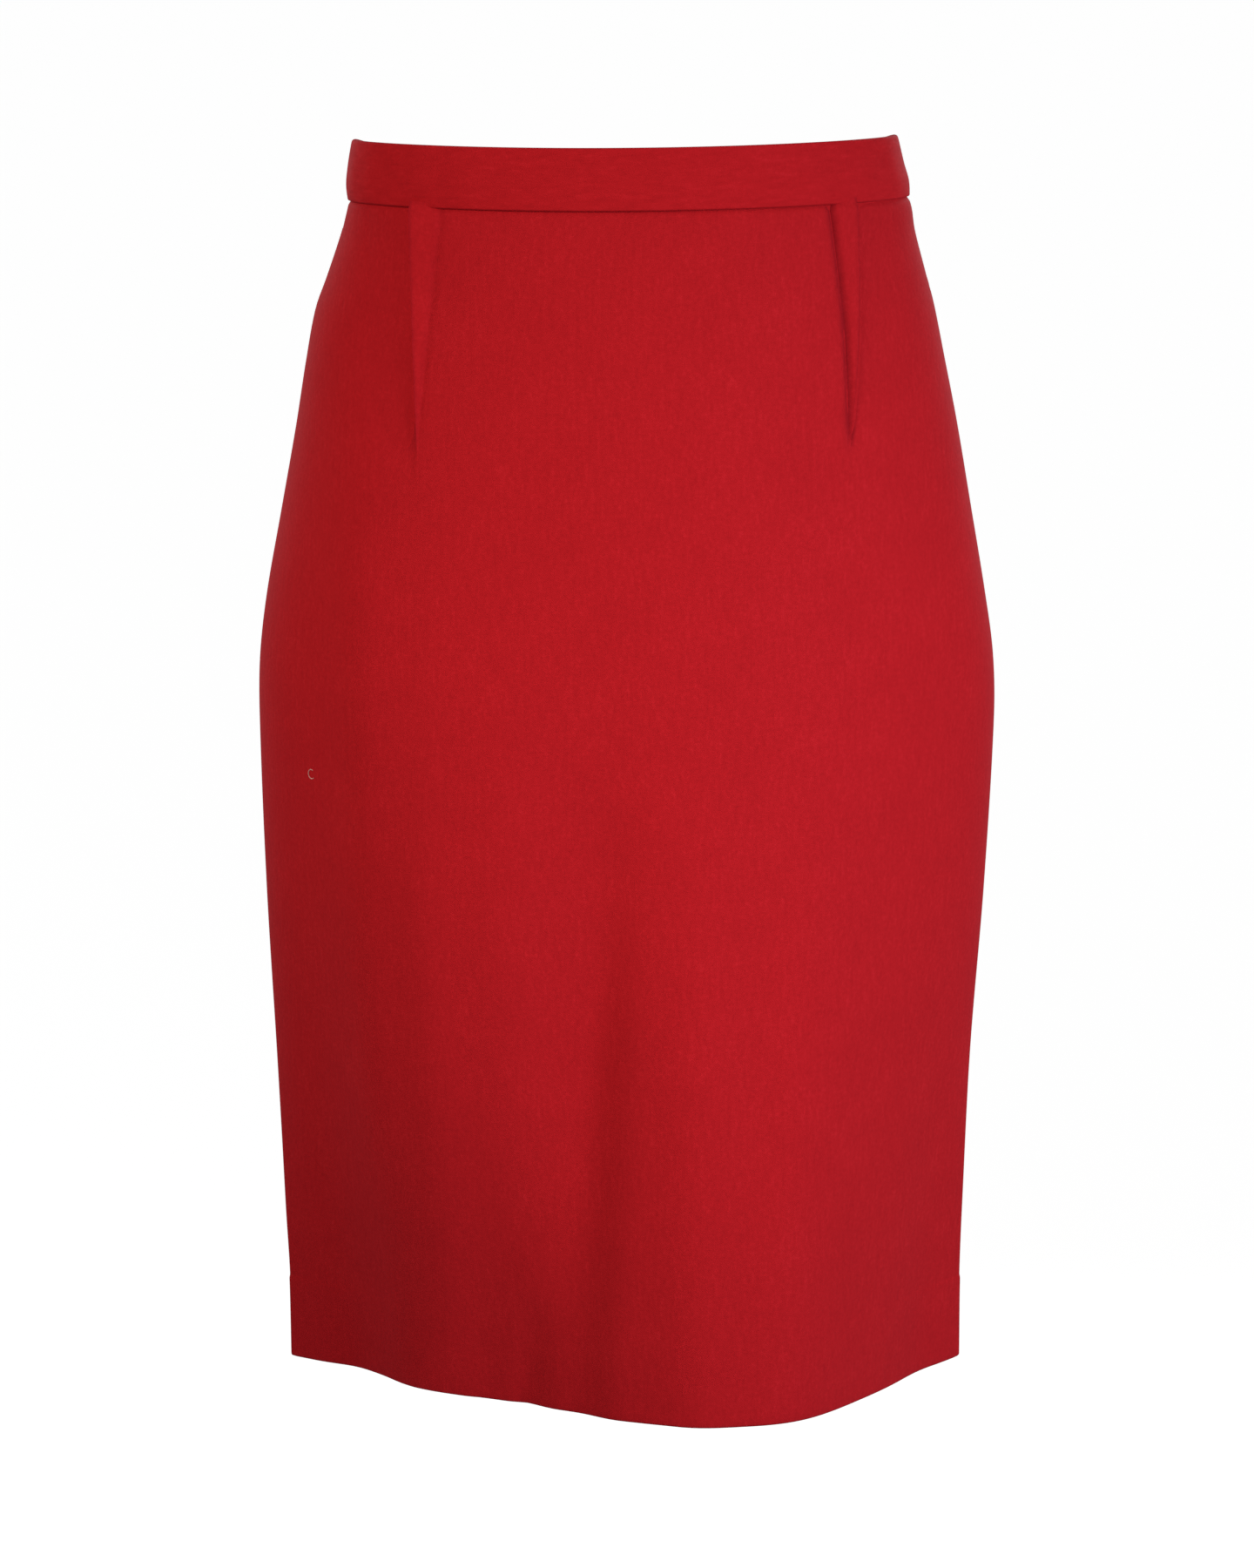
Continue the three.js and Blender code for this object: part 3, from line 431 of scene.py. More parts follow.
def crepe_weave():
    """Woven crepe: irregular fine threads, long slubs down the grain and a pebbled, cloudy ground.
    It takes a place on the cloth in metres with the grain along Y."""
    tree = bpy.data.node_groups.new("crepe_weave", "ShaderNodeTree")
    face = tree.interface
    face.new_socket("Place", in_out="INPUT", socket_type="NodeSocketVector")
    for name, value in (("Thread Width", 0.5), ("Slub Strength", 0.5), ("Pebble Strength", 0.5)):
        face.new_socket(name, in_out="INPUT", socket_type="NodeSocketFloat").default_value = value
    face.new_socket("Shadow Colour", in_out="INPUT", socket_type="NodeSocketColor")
    face.new_socket("Cloth Colour", in_out="INPUT", socket_type="NodeSocketColor")
    face.new_socket("Fuzz Colour", in_out="INPUT", socket_type="NodeSocketColor")
    face.new_socket("Colour", in_out="OUTPUT", socket_type="NodeSocketColor")
    face.new_socket("Height", in_out="OUTPUT", socket_type="NodeSocketFloat")
    face.new_socket("Roughness", in_out="OUTPUT", socket_type="NodeSocketFloat")
    given = placed(tree, "NodeGroupInput").outputs
    in_mm = placed(
        tree, "ShaderNodeVectorMath", {0: given["Place"], 1: (1000, 1000, 0)}, operation="MULTIPLY"
    )
    drift = placed(tree, "ShaderNodeTexNoise", {"Vector": in_mm.outputs[0], "Scale": 0.45, "Detail": 2.0})
    drift_in_mm = placed(
        tree, "ShaderNodeVectorMath", {0: drift.outputs["Color"], 1: (0.9, 0.9, 0)}, operation="MULTIPLY"
    )
    place = placed(
        tree, "ShaderNodeVectorMath", {0: in_mm.outputs[0], 1: drift_in_mm.outputs[0]}, operation="ADD"
    )
    parts = placed(tree, "ShaderNodeSeparateXYZ", {0: place.outputs[0]})
    per_thread = math_of(tree, "DIVIDE", math.pi, given["Thread Width"])
    warp = math_of(tree, "SINE", math_of(tree, "MULTIPLY", parts.outputs["X"], per_thread))
    weft = math_of(tree, "SINE", math_of(tree, "MULTIPLY", parts.outputs["Y"], per_thread))
    woven = math_of(tree, "MULTIPLY", warp, weft)
    slub_place = placed(
        tree, "ShaderNodeVectorMath", {0: place.outputs[0], 1: (0.34, 0.08, 1)}, operation="MULTIPLY"
    )
    slub = placed(
        tree, "ShaderNodeTexNoise",
        {"Vector": slub_place.outputs[0], "Scale": 1.0, "Detail": 3.0, "Roughness": 0.65},
    )
    rib_place = placed(
        tree, "ShaderNodeVectorMath", {0: place.outputs[0], 1: (0.7, 0.2, 1)}, operation="MULTIPLY"
    )
    rib = placed(tree, "ShaderNodeTexNoise", {"Vector": rib_place.outputs[0], "Scale": 1.0, "Detail": 2.0})
    pebble_place = placed(
        tree, "ShaderNodeVectorMath", {0: place.outputs[0], 1: (0.52, 0.55, 1)}, operation="MULTIPLY"
    )
    pebble = placed(
        tree, "ShaderNodeTexNoise", {"Vector": pebble_place.outputs[0], "Scale": 1.0, "Detail": 3.0}
    )
    cloud = placed(tree, "ShaderNodeTexNoise", {"Vector": in_mm.outputs[0], "Scale": 0.03, "Detail": 3.0})

    def centred(texture):
        return math_of(tree, "SUBTRACT", texture.outputs["Fac"], 0.5)

    streaks = math_of(tree, "ADD", math_of(tree, "MULTIPLY", centred(slub), 1.5), centred(rib))
    streaks = math_of(tree, "MULTIPLY", streaks, given["Slub Strength"])
    pebbles = math_of(tree, "MULTIPLY", centred(pebble), given["Pebble Strength"])
    ground = math_of(
        tree, "ADD", math_of(tree, "ADD", streaks, pebbles), math_of(tree, "MULTIPLY", centred(cloud), 0.35)
    )
    ground = math_of(tree, "ADD", ground, math_of(tree, "MULTIPLY", woven, 0.05))
    tone = math_of(tree, "ADD", math_of(tree, "MULTIPLY", ground, 1.5), 0.5)
    shade = placed(tree, "ShaderNodeMix", {"Factor": tone}, data_type="RGBA", clamp_factor=True)
    tree.links.new(given["Shadow Colour"], shade.inputs[6])
    tree.links.new(given["Cloth Colour"], shade.inputs[7])
    fuzz_mask = math_of(tree, "MULTIPLY", math_of(tree, "SUBTRACT", ground, 0.08), 0.55)
    fuzzy = placed(tree, "ShaderNodeMix", {"Factor": fuzz_mask}, data_type="RGBA", clamp_factor=True)
    tree.links.new(shade.outputs[2], fuzzy.inputs[6])
    tree.links.new(given["Fuzz Colour"], fuzzy.inputs[7])
    height = math_of(
        tree, "ADD", math_of(tree, "MULTIPLY", woven, 0.22), math_of(tree, "ADD", streaks, pebbles)
    )
    rough = math_of(tree, "ADD", math_of(tree, "MULTIPLY", ground, -0.12), 0.88)
    placed(tree, "NodeGroupOutput", {"Colour": fuzzy.outputs[2], "Height": height, "Roughness": rough})
    return tree


CREPE = crepe_weave()
# How much the painted dart shade darkens the cloth's colour where it is full.
DART_SHADE_STRENGTH = 0.34


def woven_cloth(name, cloth, shadow, fuzz, turned=False, thread=0.55, slub=0.42, pebble=0.8, sheen=0.012):
    """A cloth finish on a piece's own cloth map; turned lays the grain across the piece."""
    made = bpy.data.materials.new(name)
    made.use_nodes = True
    tree = made.node_tree
    surface = tree.nodes["Principled BSDF"]
    layer = placed(tree, "ShaderNodeUVMap", uv_map="cloth")
    place = layer.outputs[0]
    if turned:
        place = placed(
            tree, "ShaderNodeMapping", {"Vector": place, "Rotation": (0, 0, math.pi / 2)}
        ).outputs[0]
    weave = placed(tree, "ShaderNodeGroup", node_tree=CREPE)
    tree.links.new(place, weave.inputs["Place"])
    values = {
        "Thread Width": thread, "Slub Strength": slub, "Pebble Strength": pebble,
        "Shadow Colour": (*shadow, 1), "Cloth Colour": (*cloth, 1), "Fuzz Colour": (*fuzz, 1),
    }
    for key, value in values.items():
        weave.inputs[key].default_value = value
    bump = placed(
        tree, "ShaderNodeBump", {"Height": weave.outputs["Height"], "Strength": 0.5, "Distance": 0.0003}
    )
    # Painted shade: the colour is darkened along the darts by the point attribute from the panels.
    painted_dart_shade = placed(tree, "ShaderNodeAttribute", attribute_name="painted_dart_shade").outputs["Fac"]
    kept = math_of(tree, "SUBTRACT", 1.0, math_of(tree, "MULTIPLY", painted_dart_shade, DART_SHADE_STRENGTH))
    shaded_colour = placed(
        tree, "ShaderNodeVectorMath", {0: weave.outputs["Colour"], "Scale": kept}, operation="SCALE"
    )
    tree.links.new(shaded_colour.outputs[0], surface.inputs["Base Color"])
    tree.links.new(weave.outputs["Roughness"], surface.inputs["Roughness"])
    tree.links.new(bump.outputs[0], surface.inputs["Normal"])
    surface.inputs["Specular IOR Level"].default_value = 0.22
    surface.inputs["Specular Tint"].default_value = (0.5, 0.28, 1.0, 1)
    surface.inputs["Sheen Weight"].default_value = sheen
    surface.inputs["Sheen Roughness"].default_value = 0.6
    surface.inputs["Sheen Tint"].default_value = (1.0, 0.3, 0.55, 1)
    return made


CREPE_RED = (0.47, 0.0098, 0.0088)
CREPE_SHADOW = (0.37, 0.0073, 0.0064)
CREPE_FUZZ = (0.58, 0.022, 0.03)
red_crepe = woven_cloth("red_wool_crepe", CREPE_RED, CREPE_SHADOW, CREPE_FUZZ)

right_angle = np.full(len(CLOTH_ROWS), math.pi / 2)
front_stops = [(-right_angle, 14)]
front_stops += dart_stops(FRONT_RIGHT_DART, CLOTH_ROWS, True)
front_stops[-1] = (front_stops[-1][0], 24)
front_stops += [(right_angle * 0, 24)]
front_stops += dart_stops(FRONT_LEFT_DART, CLOTH_ROWS, False)
front_stops[-1] = (front_stops[-1][0], 14)
front_stops += [(right_angle, 0)]
front_panel = panel("front_cloth", True, columns(front_stops), CLOTH_ROWS, red_crepe)
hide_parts("front_panel")


# Left back: half of the back in the same cloth, with one dart. It is sewn to the right back from the
# waist down to the vent, and below that its folded edge hangs free on top of the underlap.
VENT_TOP = 385
VENT_SLOPE = 36
SLIDER_NOTCH = 1.5
NOTCH_END = 11.5


def centre_edge(drops):
    """How far the back's edge stands from the middle line: further round the slider's bridge."""
    return SEAM_GAP / 2 + (SLIDER_NOTCH - SEAM_GAP / 2) * (1 - smooth(drops, 9, NOTCH_END))


left_stops = [(right_angle, 14)]
left_stops += dart_stops(BACK_LEFT_DART, CLOTH_ROWS, True)
left_stops[-1] = (left_stops[-1][0], 13)
left_stops += [(turn_at(False, centre_edge(CLOTH_ROWS) + 3, CLOTH_ROWS), 4)]
left_stops += [(turn_at(False, centre_edge(CLOTH_ROWS), CLOTH_ROWS), 0)]
back_left = panel("back_left_cloth", False, columns(left_stops), CLOTH_ROWS, red_crepe)
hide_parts("back_panel_left")


# Right back: the other half, cut with an underlap below the seam. The underlap runs behind the left
# back's edge so that the vent opens as the wearer walks.
VENT_UNDERLAP = 42
VENT_SETTLE = 26
VENT_GAP = 0.7
VENT_RAMP = 14


def vent_sink(across, drop):
    """How far the right back lies under the left one at the vent."""
    near_vent = smooth(drop, VENT_TOP - VENT_SETTLE, VENT_TOP)
    behind = HEM_STEP + CLOTH_THICKNESS + VENT_GAP
    behind = behind + (HEM_THICKNESS - CLOTH_THICKNESS) * smooth(
        drop, HEM_DROP - HEM_TURN_UP - 8, HEM_DROP - HEM_TURN_UP
    )
    return behind * near_vent * smooth(across, -VENT_RAMP, -1)


overlap = -centre_edge(CLOTH_ROWS)
overlap = overlap + (VENT_UNDERLAP - overlap) * smooth(CLOTH_ROWS, VENT_TOP, VENT_TOP + VENT_SLOPE)
right_stops = [(turn_at(False, overlap, CLOTH_ROWS), 12)]
right_stops += [(turn_at(False, np.full_like(overlap, -1.8), CLOTH_ROWS), 2)]
right_stops += [(turn_at(False, np.full_like(overlap, -VENT_RAMP / 2), CLOTH_ROWS), 11)]
right_stops += dart_stops(BACK_RIGHT_DART, CLOTH_ROWS, False)
right_stops[-1] = (right_stops[-1][0], 14)
right_stops += [(3 * right_angle, 0)]
back_right = panel("back_right_cloth", False, columns(right_stops), CLOTH_ROWS, red_crepe, sink=vent_sink)
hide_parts("back_panel_right")


# Seam allowances: 15 mm of the same cloth on each side of the side seams and the centre back seam,
# pressed open flat against the inside of the panels.
ALLOWANCE = 15
ALLOWANCE_THICKNESS = 0.8
ALLOWANCE_CLEAR = 0.1
HEM_TOP = HEM_DROP - HEM_TURN_UP
side_rows = row_drops((0.5, 140, 26), (140, HEM_TOP - 2, 56))
centre_rows = row_drops((0.5, 16, 8), (16, VENT_TOP - 2, 50))


def reach(turn, drops, distance):
    """The turns that lie a distance along the cloth from a seam, forwards or backwards."""
    turns, levels = np.meshgrid(turn + math.copysign(1, distance) * np.linspace(0, 0.9, 181), drops)
    paces = np.linalg.norm(np.diff(cloth_form(turns, levels), axis=1), axis=-1)
    gone = np.concatenate([np.zeros((len(drops), 1)), np.cumsum(paces, axis=1)], axis=1)
    return np.array([np.interp(abs(distance), *row) for row in zip(gone, turns)])


def allowance(name, front, seam_turn, drops, distance):
    near, far = np.full(len(drops), seam_turn), reach(seam_turn, drops, distance)
    stops = [(near, 6), (far, 0)] if distance > 0 else [(far, 6), (near, 0)]
    return panel(
        name, front, columns(stops), drops, red_crepe, inside=CLOTH_THICKNESS + ALLOWANCE_CLEAR,
        thick=ALLOWANCE_THICKNESS, relief=False,
    )


allowance("left_seam_front_allowance", True, math.pi / 2, side_rows, -ALLOWANCE)
allowance("left_seam_back_allowance", False, math.pi / 2, side_rows, ALLOWANCE)
allowance("right_seam_front_allowance", True, -math.pi / 2, side_rows, ALLOWANCE)
allowance("right_seam_back_allowance", False, 3 * math.pi / 2, side_rows, -ALLOWANCE)
allowance("centre_seam_left_allowance", False, math.pi - 0.002, centre_rows, -ALLOWANCE)
allowance("centre_seam_right_allowance", False, math.pi + 0.002, centre_rows, ALLOWANCE)


# Zip: two woven polyester tapes sewn behind the back panels, and a nylon coil sewn along each tape
# whose loops hook into the other's. The seam closes over it, so only the pull tab shows outside.
ZIP_TOP = 12.6
ZIP_LENGTH = 182
TAPE_NEAR = 2.4
TAPE_FAR = 14
TAPE_DEPTH = 2.45
TAPE_THICKNESS = 0.7
SLIDER_HALF = 4.7
COIL_MIDDLE_DEPTH = 3.3
COIL_RADIUS = 0.68
COIL_WIRE = 0.27
COIL_PITCH = 1.3
COIL_REACH = 0.42
LINK_POINTS = 10

zip_tape = woven_cloth(
    "zip_tape_weave", (0.27, 0.011, 0.016), (0.2, 0.007, 0.01), (0.4, 0.03, 0.045), thread=0.42, slub=0.1,
    pebble=0.25, sheen=0.012,
)
tape_rows = row_drops((1, 10, 5), (10, 17, 9), (17, ZIP_LENGTH + 8, 50))
tape_near = TAPE_NEAR + (SLIDER_HALF - TAPE_NEAR) * (1 - smooth(tape_rows, ZIP_TOP, ZIP_TOP + 1.4))
for word, sign in (("left", 1), ("right", -1)):
    near = turn_at(False, sign * tape_near, tape_rows)
    far = turn_at(False, np.full(len(tape_rows), sign * TAPE_FAR), tape_rows)
    stops = [(far, 8), (near, 0)] if sign > 0 else [(near, 8), (far, 0)]
    tape = panel(
        f"zip_tape_{word}_woven", False, columns(stops), tape_rows, zip_tape, inside=TAPE_DEPTH,
        thick=TAPE_THICKNESS, relief=False,
    )
    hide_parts(f"zip_tape_{word}")


def path_mesh(name, points, outs):
    """A line through points in millimetres that carries the outward direction at each of them."""
    mesh = bpy.data.meshes.new(name)
    points = np.asarray(points)
    mesh.from_pydata((points * MM).tolist(), [(k, k + 1) for k in range(len(points) - 1)], [])
    mesh.attributes.new("out", "FLOAT_VECTOR", "POINT").data.foreach_set(
        "vector", np.asarray(outs, np.float32).ravel()
    )
    return mesh


def geometry_tree(name, inputs):
    """A Geometry Nodes tree with named inputs for its sizes; it returns the tree and its input sockets."""
    tree = bpy.data.node_groups.new(name, "GeometryNodeTree")
    face = tree.interface
    face.new_socket("Path", in_out="INPUT", socket_type="NodeSocketGeometry")
    for key in inputs:
        face.new_socket(key, in_out="INPUT", socket_type="NodeSocketFloat")
    face.new_socket("Finish", in_out="INPUT", socket_type="NodeSocketMaterial")
    face.new_socket("Piece", in_out="OUTPUT", socket_type="NodeSocketGeometry")
    return tree, placed(tree, "NodeGroupInput").outputs


def close_tree(tree, given, made):
    real = placed(tree, "GeometryNodeRealizeInstances", {0: made}).outputs[0]
    smooth_faces = placed(tree, "GeometryNodeSetShadeSmooth", {0: real}).outputs[0]
    finished = placed(
        tree, "GeometryNodeSetMaterial", {0: smooth_faces, "Material": given["Finish"]}
    ).outputs[0]
    placed(tree, "NodeGroupOutput", {"Piece": finished})


def grown(name, tree, path, material, slot, **values):
    """A plain mesh from a tree run on a path."""
    holder = bpy.data.objects.new(name, path)
    bpy.context.collection.objects.link(holder)
    run = holder.modifiers.new("nodes", "NODES")
    run.node_group = tree
    sockets = {item.name: item.identifier for item in tree.interface.items_tree if item.in_out == "INPUT"}
    for key, value in values.items():
        run[sockets[key.replace("_", " ").title()]] = float(value)
    run[sockets["Finish"]] = material
    evaluated = holder.evaluated_get(bpy.context.evaluated_depsgraph_get())
    mesh = bpy.data.meshes.new_from_object(evaluated)
    mesh.name = name
    holder.modifiers.remove(run)
    holder.data = mesh
    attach(holder, "garment")
    return holder


def link_tree():
    """A thread wound into a flattened coil along the path, with its loops reaching to one side."""
    tree, given = geometry_tree(
        "coil_links", ("Side", "Pitch", "Loop Radius", "Wire Radius", "Reach", "Lead")
    )
    line = placed(tree, "GeometryNodeMeshToCurve", {"Mesh": given["Path"]}).outputs[0]
    length = placed(tree, "GeometryNodeCurveLength", {"Curve": line}).outputs[0]
    turns = math_of(tree, "DIVIDE", length, given["Pitch"])
    line = placed(
        tree, "GeometryNodeResampleCurve", {
            "Curve": line, "Count": math_of(tree, "MULTIPLY", turns, LINK_POINTS)
        }
    ).outputs[0]
    index = placed(tree, "GeometryNodeInputIndex").outputs[0]
    bend = math_of(tree, "ADD", math_of(tree, "MULTIPLY", index, 2 * math.pi / LINK_POINTS), given["Lead"])
    out = placed(
        tree, "GeometryNodeInputNamedAttribute", {"Name": "out"}, data_type="FLOAT_VECTOR"
    ).outputs[0]
    swing = math_of(tree, "MULTIPLY", math_of(tree, "COSINE", bend, 0), given["Loop Radius"])
    across = math_of(tree, "ADD", math_of(tree, "SUBTRACT", given["Loop Radius"], given["Reach"]), swing)
    across = math_of(tree, "MULTIPLY", across, given["Side"])
    deep = math_of(tree, "MULTIPLY", math_of(tree, "SINE", bend, 0), given["Loop Radius"])
    deep = math_of(tree, "MULTIPLY", deep, 0.9)
    sideways = placed(tree, "ShaderNodeCombineXYZ", {"X": across}).outputs[0]
    outwards = placed(tree, "ShaderNodeVectorMath", {0: out, "Scale": deep}, operation="SCALE").outputs[0]
    offset = placed(tree, "ShaderNodeVectorMath", {0: sideways, 1: outwards}, operation="ADD").outputs[0]
    moved = placed(tree, "GeometryNodeSetPosition", {"Geometry": line, "Offset": offset}).outputs[0]
    ring = placed(
        tree, "GeometryNodeCurvePrimitiveCircle", {"Resolution": 5, "Radius": given["Wire Radius"]}
    ).outputs[0]
    tube = placed(
        tree, "GeometryNodeCurveToMesh", {"Curve": moved, "Profile Curve": ring, "Fill Caps": True}
    ).outputs[0]
    close_tree(tree, given, tube)
    return tree


def plain_finish(name, colour, dark, roughness, size, coat=0.0, metal=0.0, bump_depth=0.02):
    """A hard finish whose colour and gloss vary a little over the piece; size is the pattern's, in metres."""
    made = bpy.data.materials.new(name)
    made.use_nodes = True
    tree = made.node_tree
    surface = tree.nodes["Principled BSDF"]
    place = placed(tree, "ShaderNodeTexCoord").outputs["Object"]
    cloud = placed(
        tree, "ShaderNodeTexNoise", {"Vector": place, "Scale": 1 / size, "Detail": 4.0, "Distortion": 0.8}
    )
    fine = placed(tree, "ShaderNodeTexNoise", {"Vector": place, "Scale": 6 / size, "Detail": 2.0})
    mix = placed(tree, "ShaderNodeMix", {"Factor": cloud.outputs["Fac"]}, data_type="RGBA")
    mix.inputs[6].default_value = (*dark, 1)
    mix.inputs[7].default_value = (*colour, 1)
    rough = math_of(tree, "ADD", math_of(tree, "MULTIPLY", fine.outputs["Fac"], 0.15), roughness - 0.075)
    bump = placed(
        tree, "ShaderNodeBump", {"Height": fine.outputs["Fac"], "Strength": 0.4, "Distance": bump_depth * MM}
    )
    tree.links.new(mix.outputs[2], surface.inputs["Base Color"])
    tree.links.new(rough, surface.inputs["Roughness"])
    tree.links.new(bump.outputs[0], surface.inputs["Normal"])
    surface.inputs["Metallic"].default_value = metal
    surface.inputs["Coat Weight"].default_value = coat
    surface.inputs["Coat Roughness"].default_value = 0.12
    return made


def back_path(across, drops, deep):
    """Points on the inside of the back, with the way that faces the wearer's back."""
    turns = turn_at(False, np.full(len(drops), float(across)), drops)
    away = outward(cloth_form, turns, drops)
    away[:, 0] = 0
    away /= np.linalg.norm(away, axis=-1, keepdims=True)
    points = cloth_form(turns, drops) - away * deep
    points[:, 1] += SEAM_GAP / 2
    return points, away


nylon = plain_finish("coil_nylon", (0.33, 0.012, 0.02), (0.26, 0.009, 0.014), 0.38, 0.02)
LINKS = link_tree()
coil_drops = np.linspace(ZIP_TOP + 0.3, ZIP_LENGTH, 60)
for word, side, lead in (("left", 1, 0), ("right", -1, math.pi)):
    middle, away = back_path(0, coil_drops, COIL_MIDDLE_DEPTH)
    grown(
        f"zip_coil_{word}_links", LINKS, path_mesh("coil_path", middle, away), nylon, "red_tape", side=side,
        pitch=COIL_PITCH * MM, loop_radius=COIL_RADIUS * MM, wire_radius=COIL_WIRE * MM,
        reach=COIL_REACH * MM, lead=lead,
    )
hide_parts("zip_coil")


# Slider and pull tab: die-cast zinc, lacquered red to match the cloth. The slider's bridge stands out
# between the panels' edges, and the tab hangs from it and turns up for the hand.
EDGE_ROUND = 0.22


def softened(node, name, body, material, width):
    """A copy of a hard node with its edges rounded as castings are."""
    mesh = bpy.data.meshes.new(name)
    shape = bmesh.new()
    shape.from_mesh(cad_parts[node].data)
    bmesh.ops.remove_doubles(shape, verts=shape.verts, dist=0.01 * MM)
    bmesh.ops.dissolve_limit(shape, angle_limit=math.radians(1), verts=shape.verts, edges=shape.edges)
    shape.to_mesh(mesh)
    shape.free()
    mesh.shade_smooth()
    piece = bpy.data.objects.new(name, mesh)
    bpy.context.collection.objects.link(piece)
    mesh.materials.clear()
    mesh.materials.append(material)
    rounded = piece.modifiers.new("rounded_edges", "BEVEL")
    rounded.width = width * MM
    rounded.segments = 3
    rounded.limit_method = "ANGLE"
    rounded.angle_limit = math.radians(35)
    rounded.harden_normals = True
    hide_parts(node)
    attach(piece, body)
    return piece


lacquer = plain_finish(
    "red_lacquer", (0.36, 0.011, 0.018), (0.31, 0.008, 0.013), 0.3, 0.004, coat=0.5, metal=0.25
)
softened("zip_slider", "slider_casting", "garment", lacquer, EDGE_ROUND)
softened("zip_pull_tab", "pull_tab_casting", "pull_tab", lacquer, EDGE_ROUND)


# Waistband: one straight strip of the cloth, folded along its top, stiffened and sewn to the panels.
# Its grain runs round the waist, and its left end laps over the right one at the centre back.
Band = namedtuple("Band", "up left right front back")
BAND_LEVELS = [
    Band(-14.5, 132.0, 133.7, 87.5, 83.5),
    Band(-7, 132.5, 133.0, 87.1, 83.1),
    Band(1, 131.7, 130.6, 86.2, 82.2),
    Band(14.5, 129.8, 127.6, 84.5, 80.5),
]
BAND_THICKNESS = 3.0
BAND_PILLOW = 0.35
BAND_FOLD = 1.5
BAND_ROLL = 1.2
BAND_UNDERLAP = 32
BAND_SINK = BAND_THICKNESS + 0.5
BAND_COLUMNS = 340


def band_form(turn, up):
    """The waistband's outer face."""
    row = between(BAND_LEVELS, "up", up)
    across = np.where(np.sin(turn) >= 0, row.right, row.left) * np.sin(turn)
    depth = np.where(np.cos(turn) >= 0, row.front, row.back) * np.cos(turn)
    return np.stack([across, -depth, up + waist_shift(turn)], -1)


def band_outward(turn, up):
    return outward(lambda t, level: band_form(t, -level), turn, -up, low=-14, high=14)


def band_section():
    """The folded strip's section, as (deep, up) pairs: rolled in at the seam, full in the middle."""
    low, high = -BAND_HEIGHT / 2 + 0.1, BAND_HEIGHT / 2
    section = []
    for k in range(5):
        bend = math.pi / 2 * k / 4
        section.append((BAND_ROLL * (1 - math.sin(bend)), low + BAND_ROLL * (1 - math.cos(bend)) * 0.8))
    for k in range(1, 12):
        up = low + BAND_ROLL + (high - BAND_FOLD - low - BAND_ROLL) * k / 12
        section.append((-BAND_PILLOW * math.sin(math.pi * k / 12) ** 0.7, up))
    for k in range(9):
        bend = math.pi * k / 8
        section.append((BAND_FOLD * (1 - math.cos(bend)), high - BAND_FOLD + BAND_FOLD * math.sin(bend)))
    for k in range(1, 9):
        section.append((BAND_THICKNESS, high - BAND_FOLD + (low - high + BAND_FOLD) * k / 8))
    return np.array(section)


def band_turn(across):
    """The turn of a place across the back of the band."""
    row = between(BAND_LEVELS, "up", 0)
    return np.pi - np.arcsin(across / np.where(np.asarray(across) >= 0, row.right, row.left))


section = band_section()
band_end = band_turn(SEAM_GAP)
band_start = band_turn(BAND_UNDERLAP) - 2 * math.pi
band_turns = np.linspace(band_start, band_end, BAND_COLUMNS)[:, None]
sunk = 1 - smooth(band_turns + math.pi, 0.022, 0.17)
band_up = np.repeat(section[None, :, 1], BAND_COLUMNS, axis=0)
ripple = 0.12 * np.sin(band_turns * 17 + 1.3) + 0.1 * np.sin(band_turns * 29) * np.cos(band_turns * 5)
band_deep = section[None, :, 0] + BAND_SINK * sunk + ripple * np.cos(band_up / BAND_HEIGHT * math.pi)
wide_turns = np.repeat(band_turns, len(section), axis=1)
band_points = band_form(wide_turns, band_up) - band_outward(wide_turns, band_up) * band_deep[..., None]
band_faces = []
for column in range(BAND_COLUMNS - 1):
    for k in range(len(section)):
        a, b = column * len(section) + k, column * len(section) + (k + 1) % len(section)
        band_faces.append((a, a + len(section), b + len(section), b))
band_faces.append(tuple(range(len(section))))
band_faces.append(tuple(range((BAND_COLUMNS - 1) * len(section), BAND_COLUMNS * len(section)))[::-1])
round_waist = np.cumsum(np.r_[0, np.linalg.norm(np.diff(band_points[:, 8], axis=0), axis=1)])
up_section = np.cumsum(np.r_[0, np.linalg.norm(np.diff(section, axis=0), axis=1)])
band_uv = np.stack(np.broadcast_arrays(round_waist[:, None], up_section[None, :]), -1).reshape(-1, 2) * MM
band_crepe = woven_cloth(
    "waistband_crepe", (
        0.485, 0.0098, 0.0085
    ), (0.39, 0.0076, 0.0065), CREPE_FUZZ, turned=True, slub=0.6, pebble=0.45
)
waistband = piece_of("waistband_cloth", band_points.reshape(-1, 3), band_faces, band_uv, band_crepe)
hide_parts("waistband")


# Button and buttonhole: a four-hole polyester button of 15 mm, sewn to the underlap with crossed
# threads, in a hand-size buttonhole whose slit is bound with close thread stitches.
BUTTON_ACROSS = 15
BUTTON_SEAT = 0.65
BUTTON_HOLE_OFFSET = 1.05
BUTTON_HOLE_RADIUS = 0.62
BUTTON_PROFILE = [
    (0, 0), (6.3, 0), (7.05, 0.35), (7.45, 1.0), (7.45, 1.6), (7.15, 2.2), (6.6, 2.55), (6.0, 2.5),
    (5.4, 2.15), (4.7, 1.8), (3.6, 1.7), (0, 1.68),
]
BUTTONHOLE = (13.5, 31.5)
THREAD = 0.2
BAR_LENGTH = 1.9


def on_band(across, up, lift):
    """A point on the waistband's outer face at the back, with its outward direction."""
    turns = band_turn(np.asarray(across, float))
    away = band_outward(turns, np.asarray(up, float))
    return band_form(turns, np.asarray(up, float)) + away * lift, away


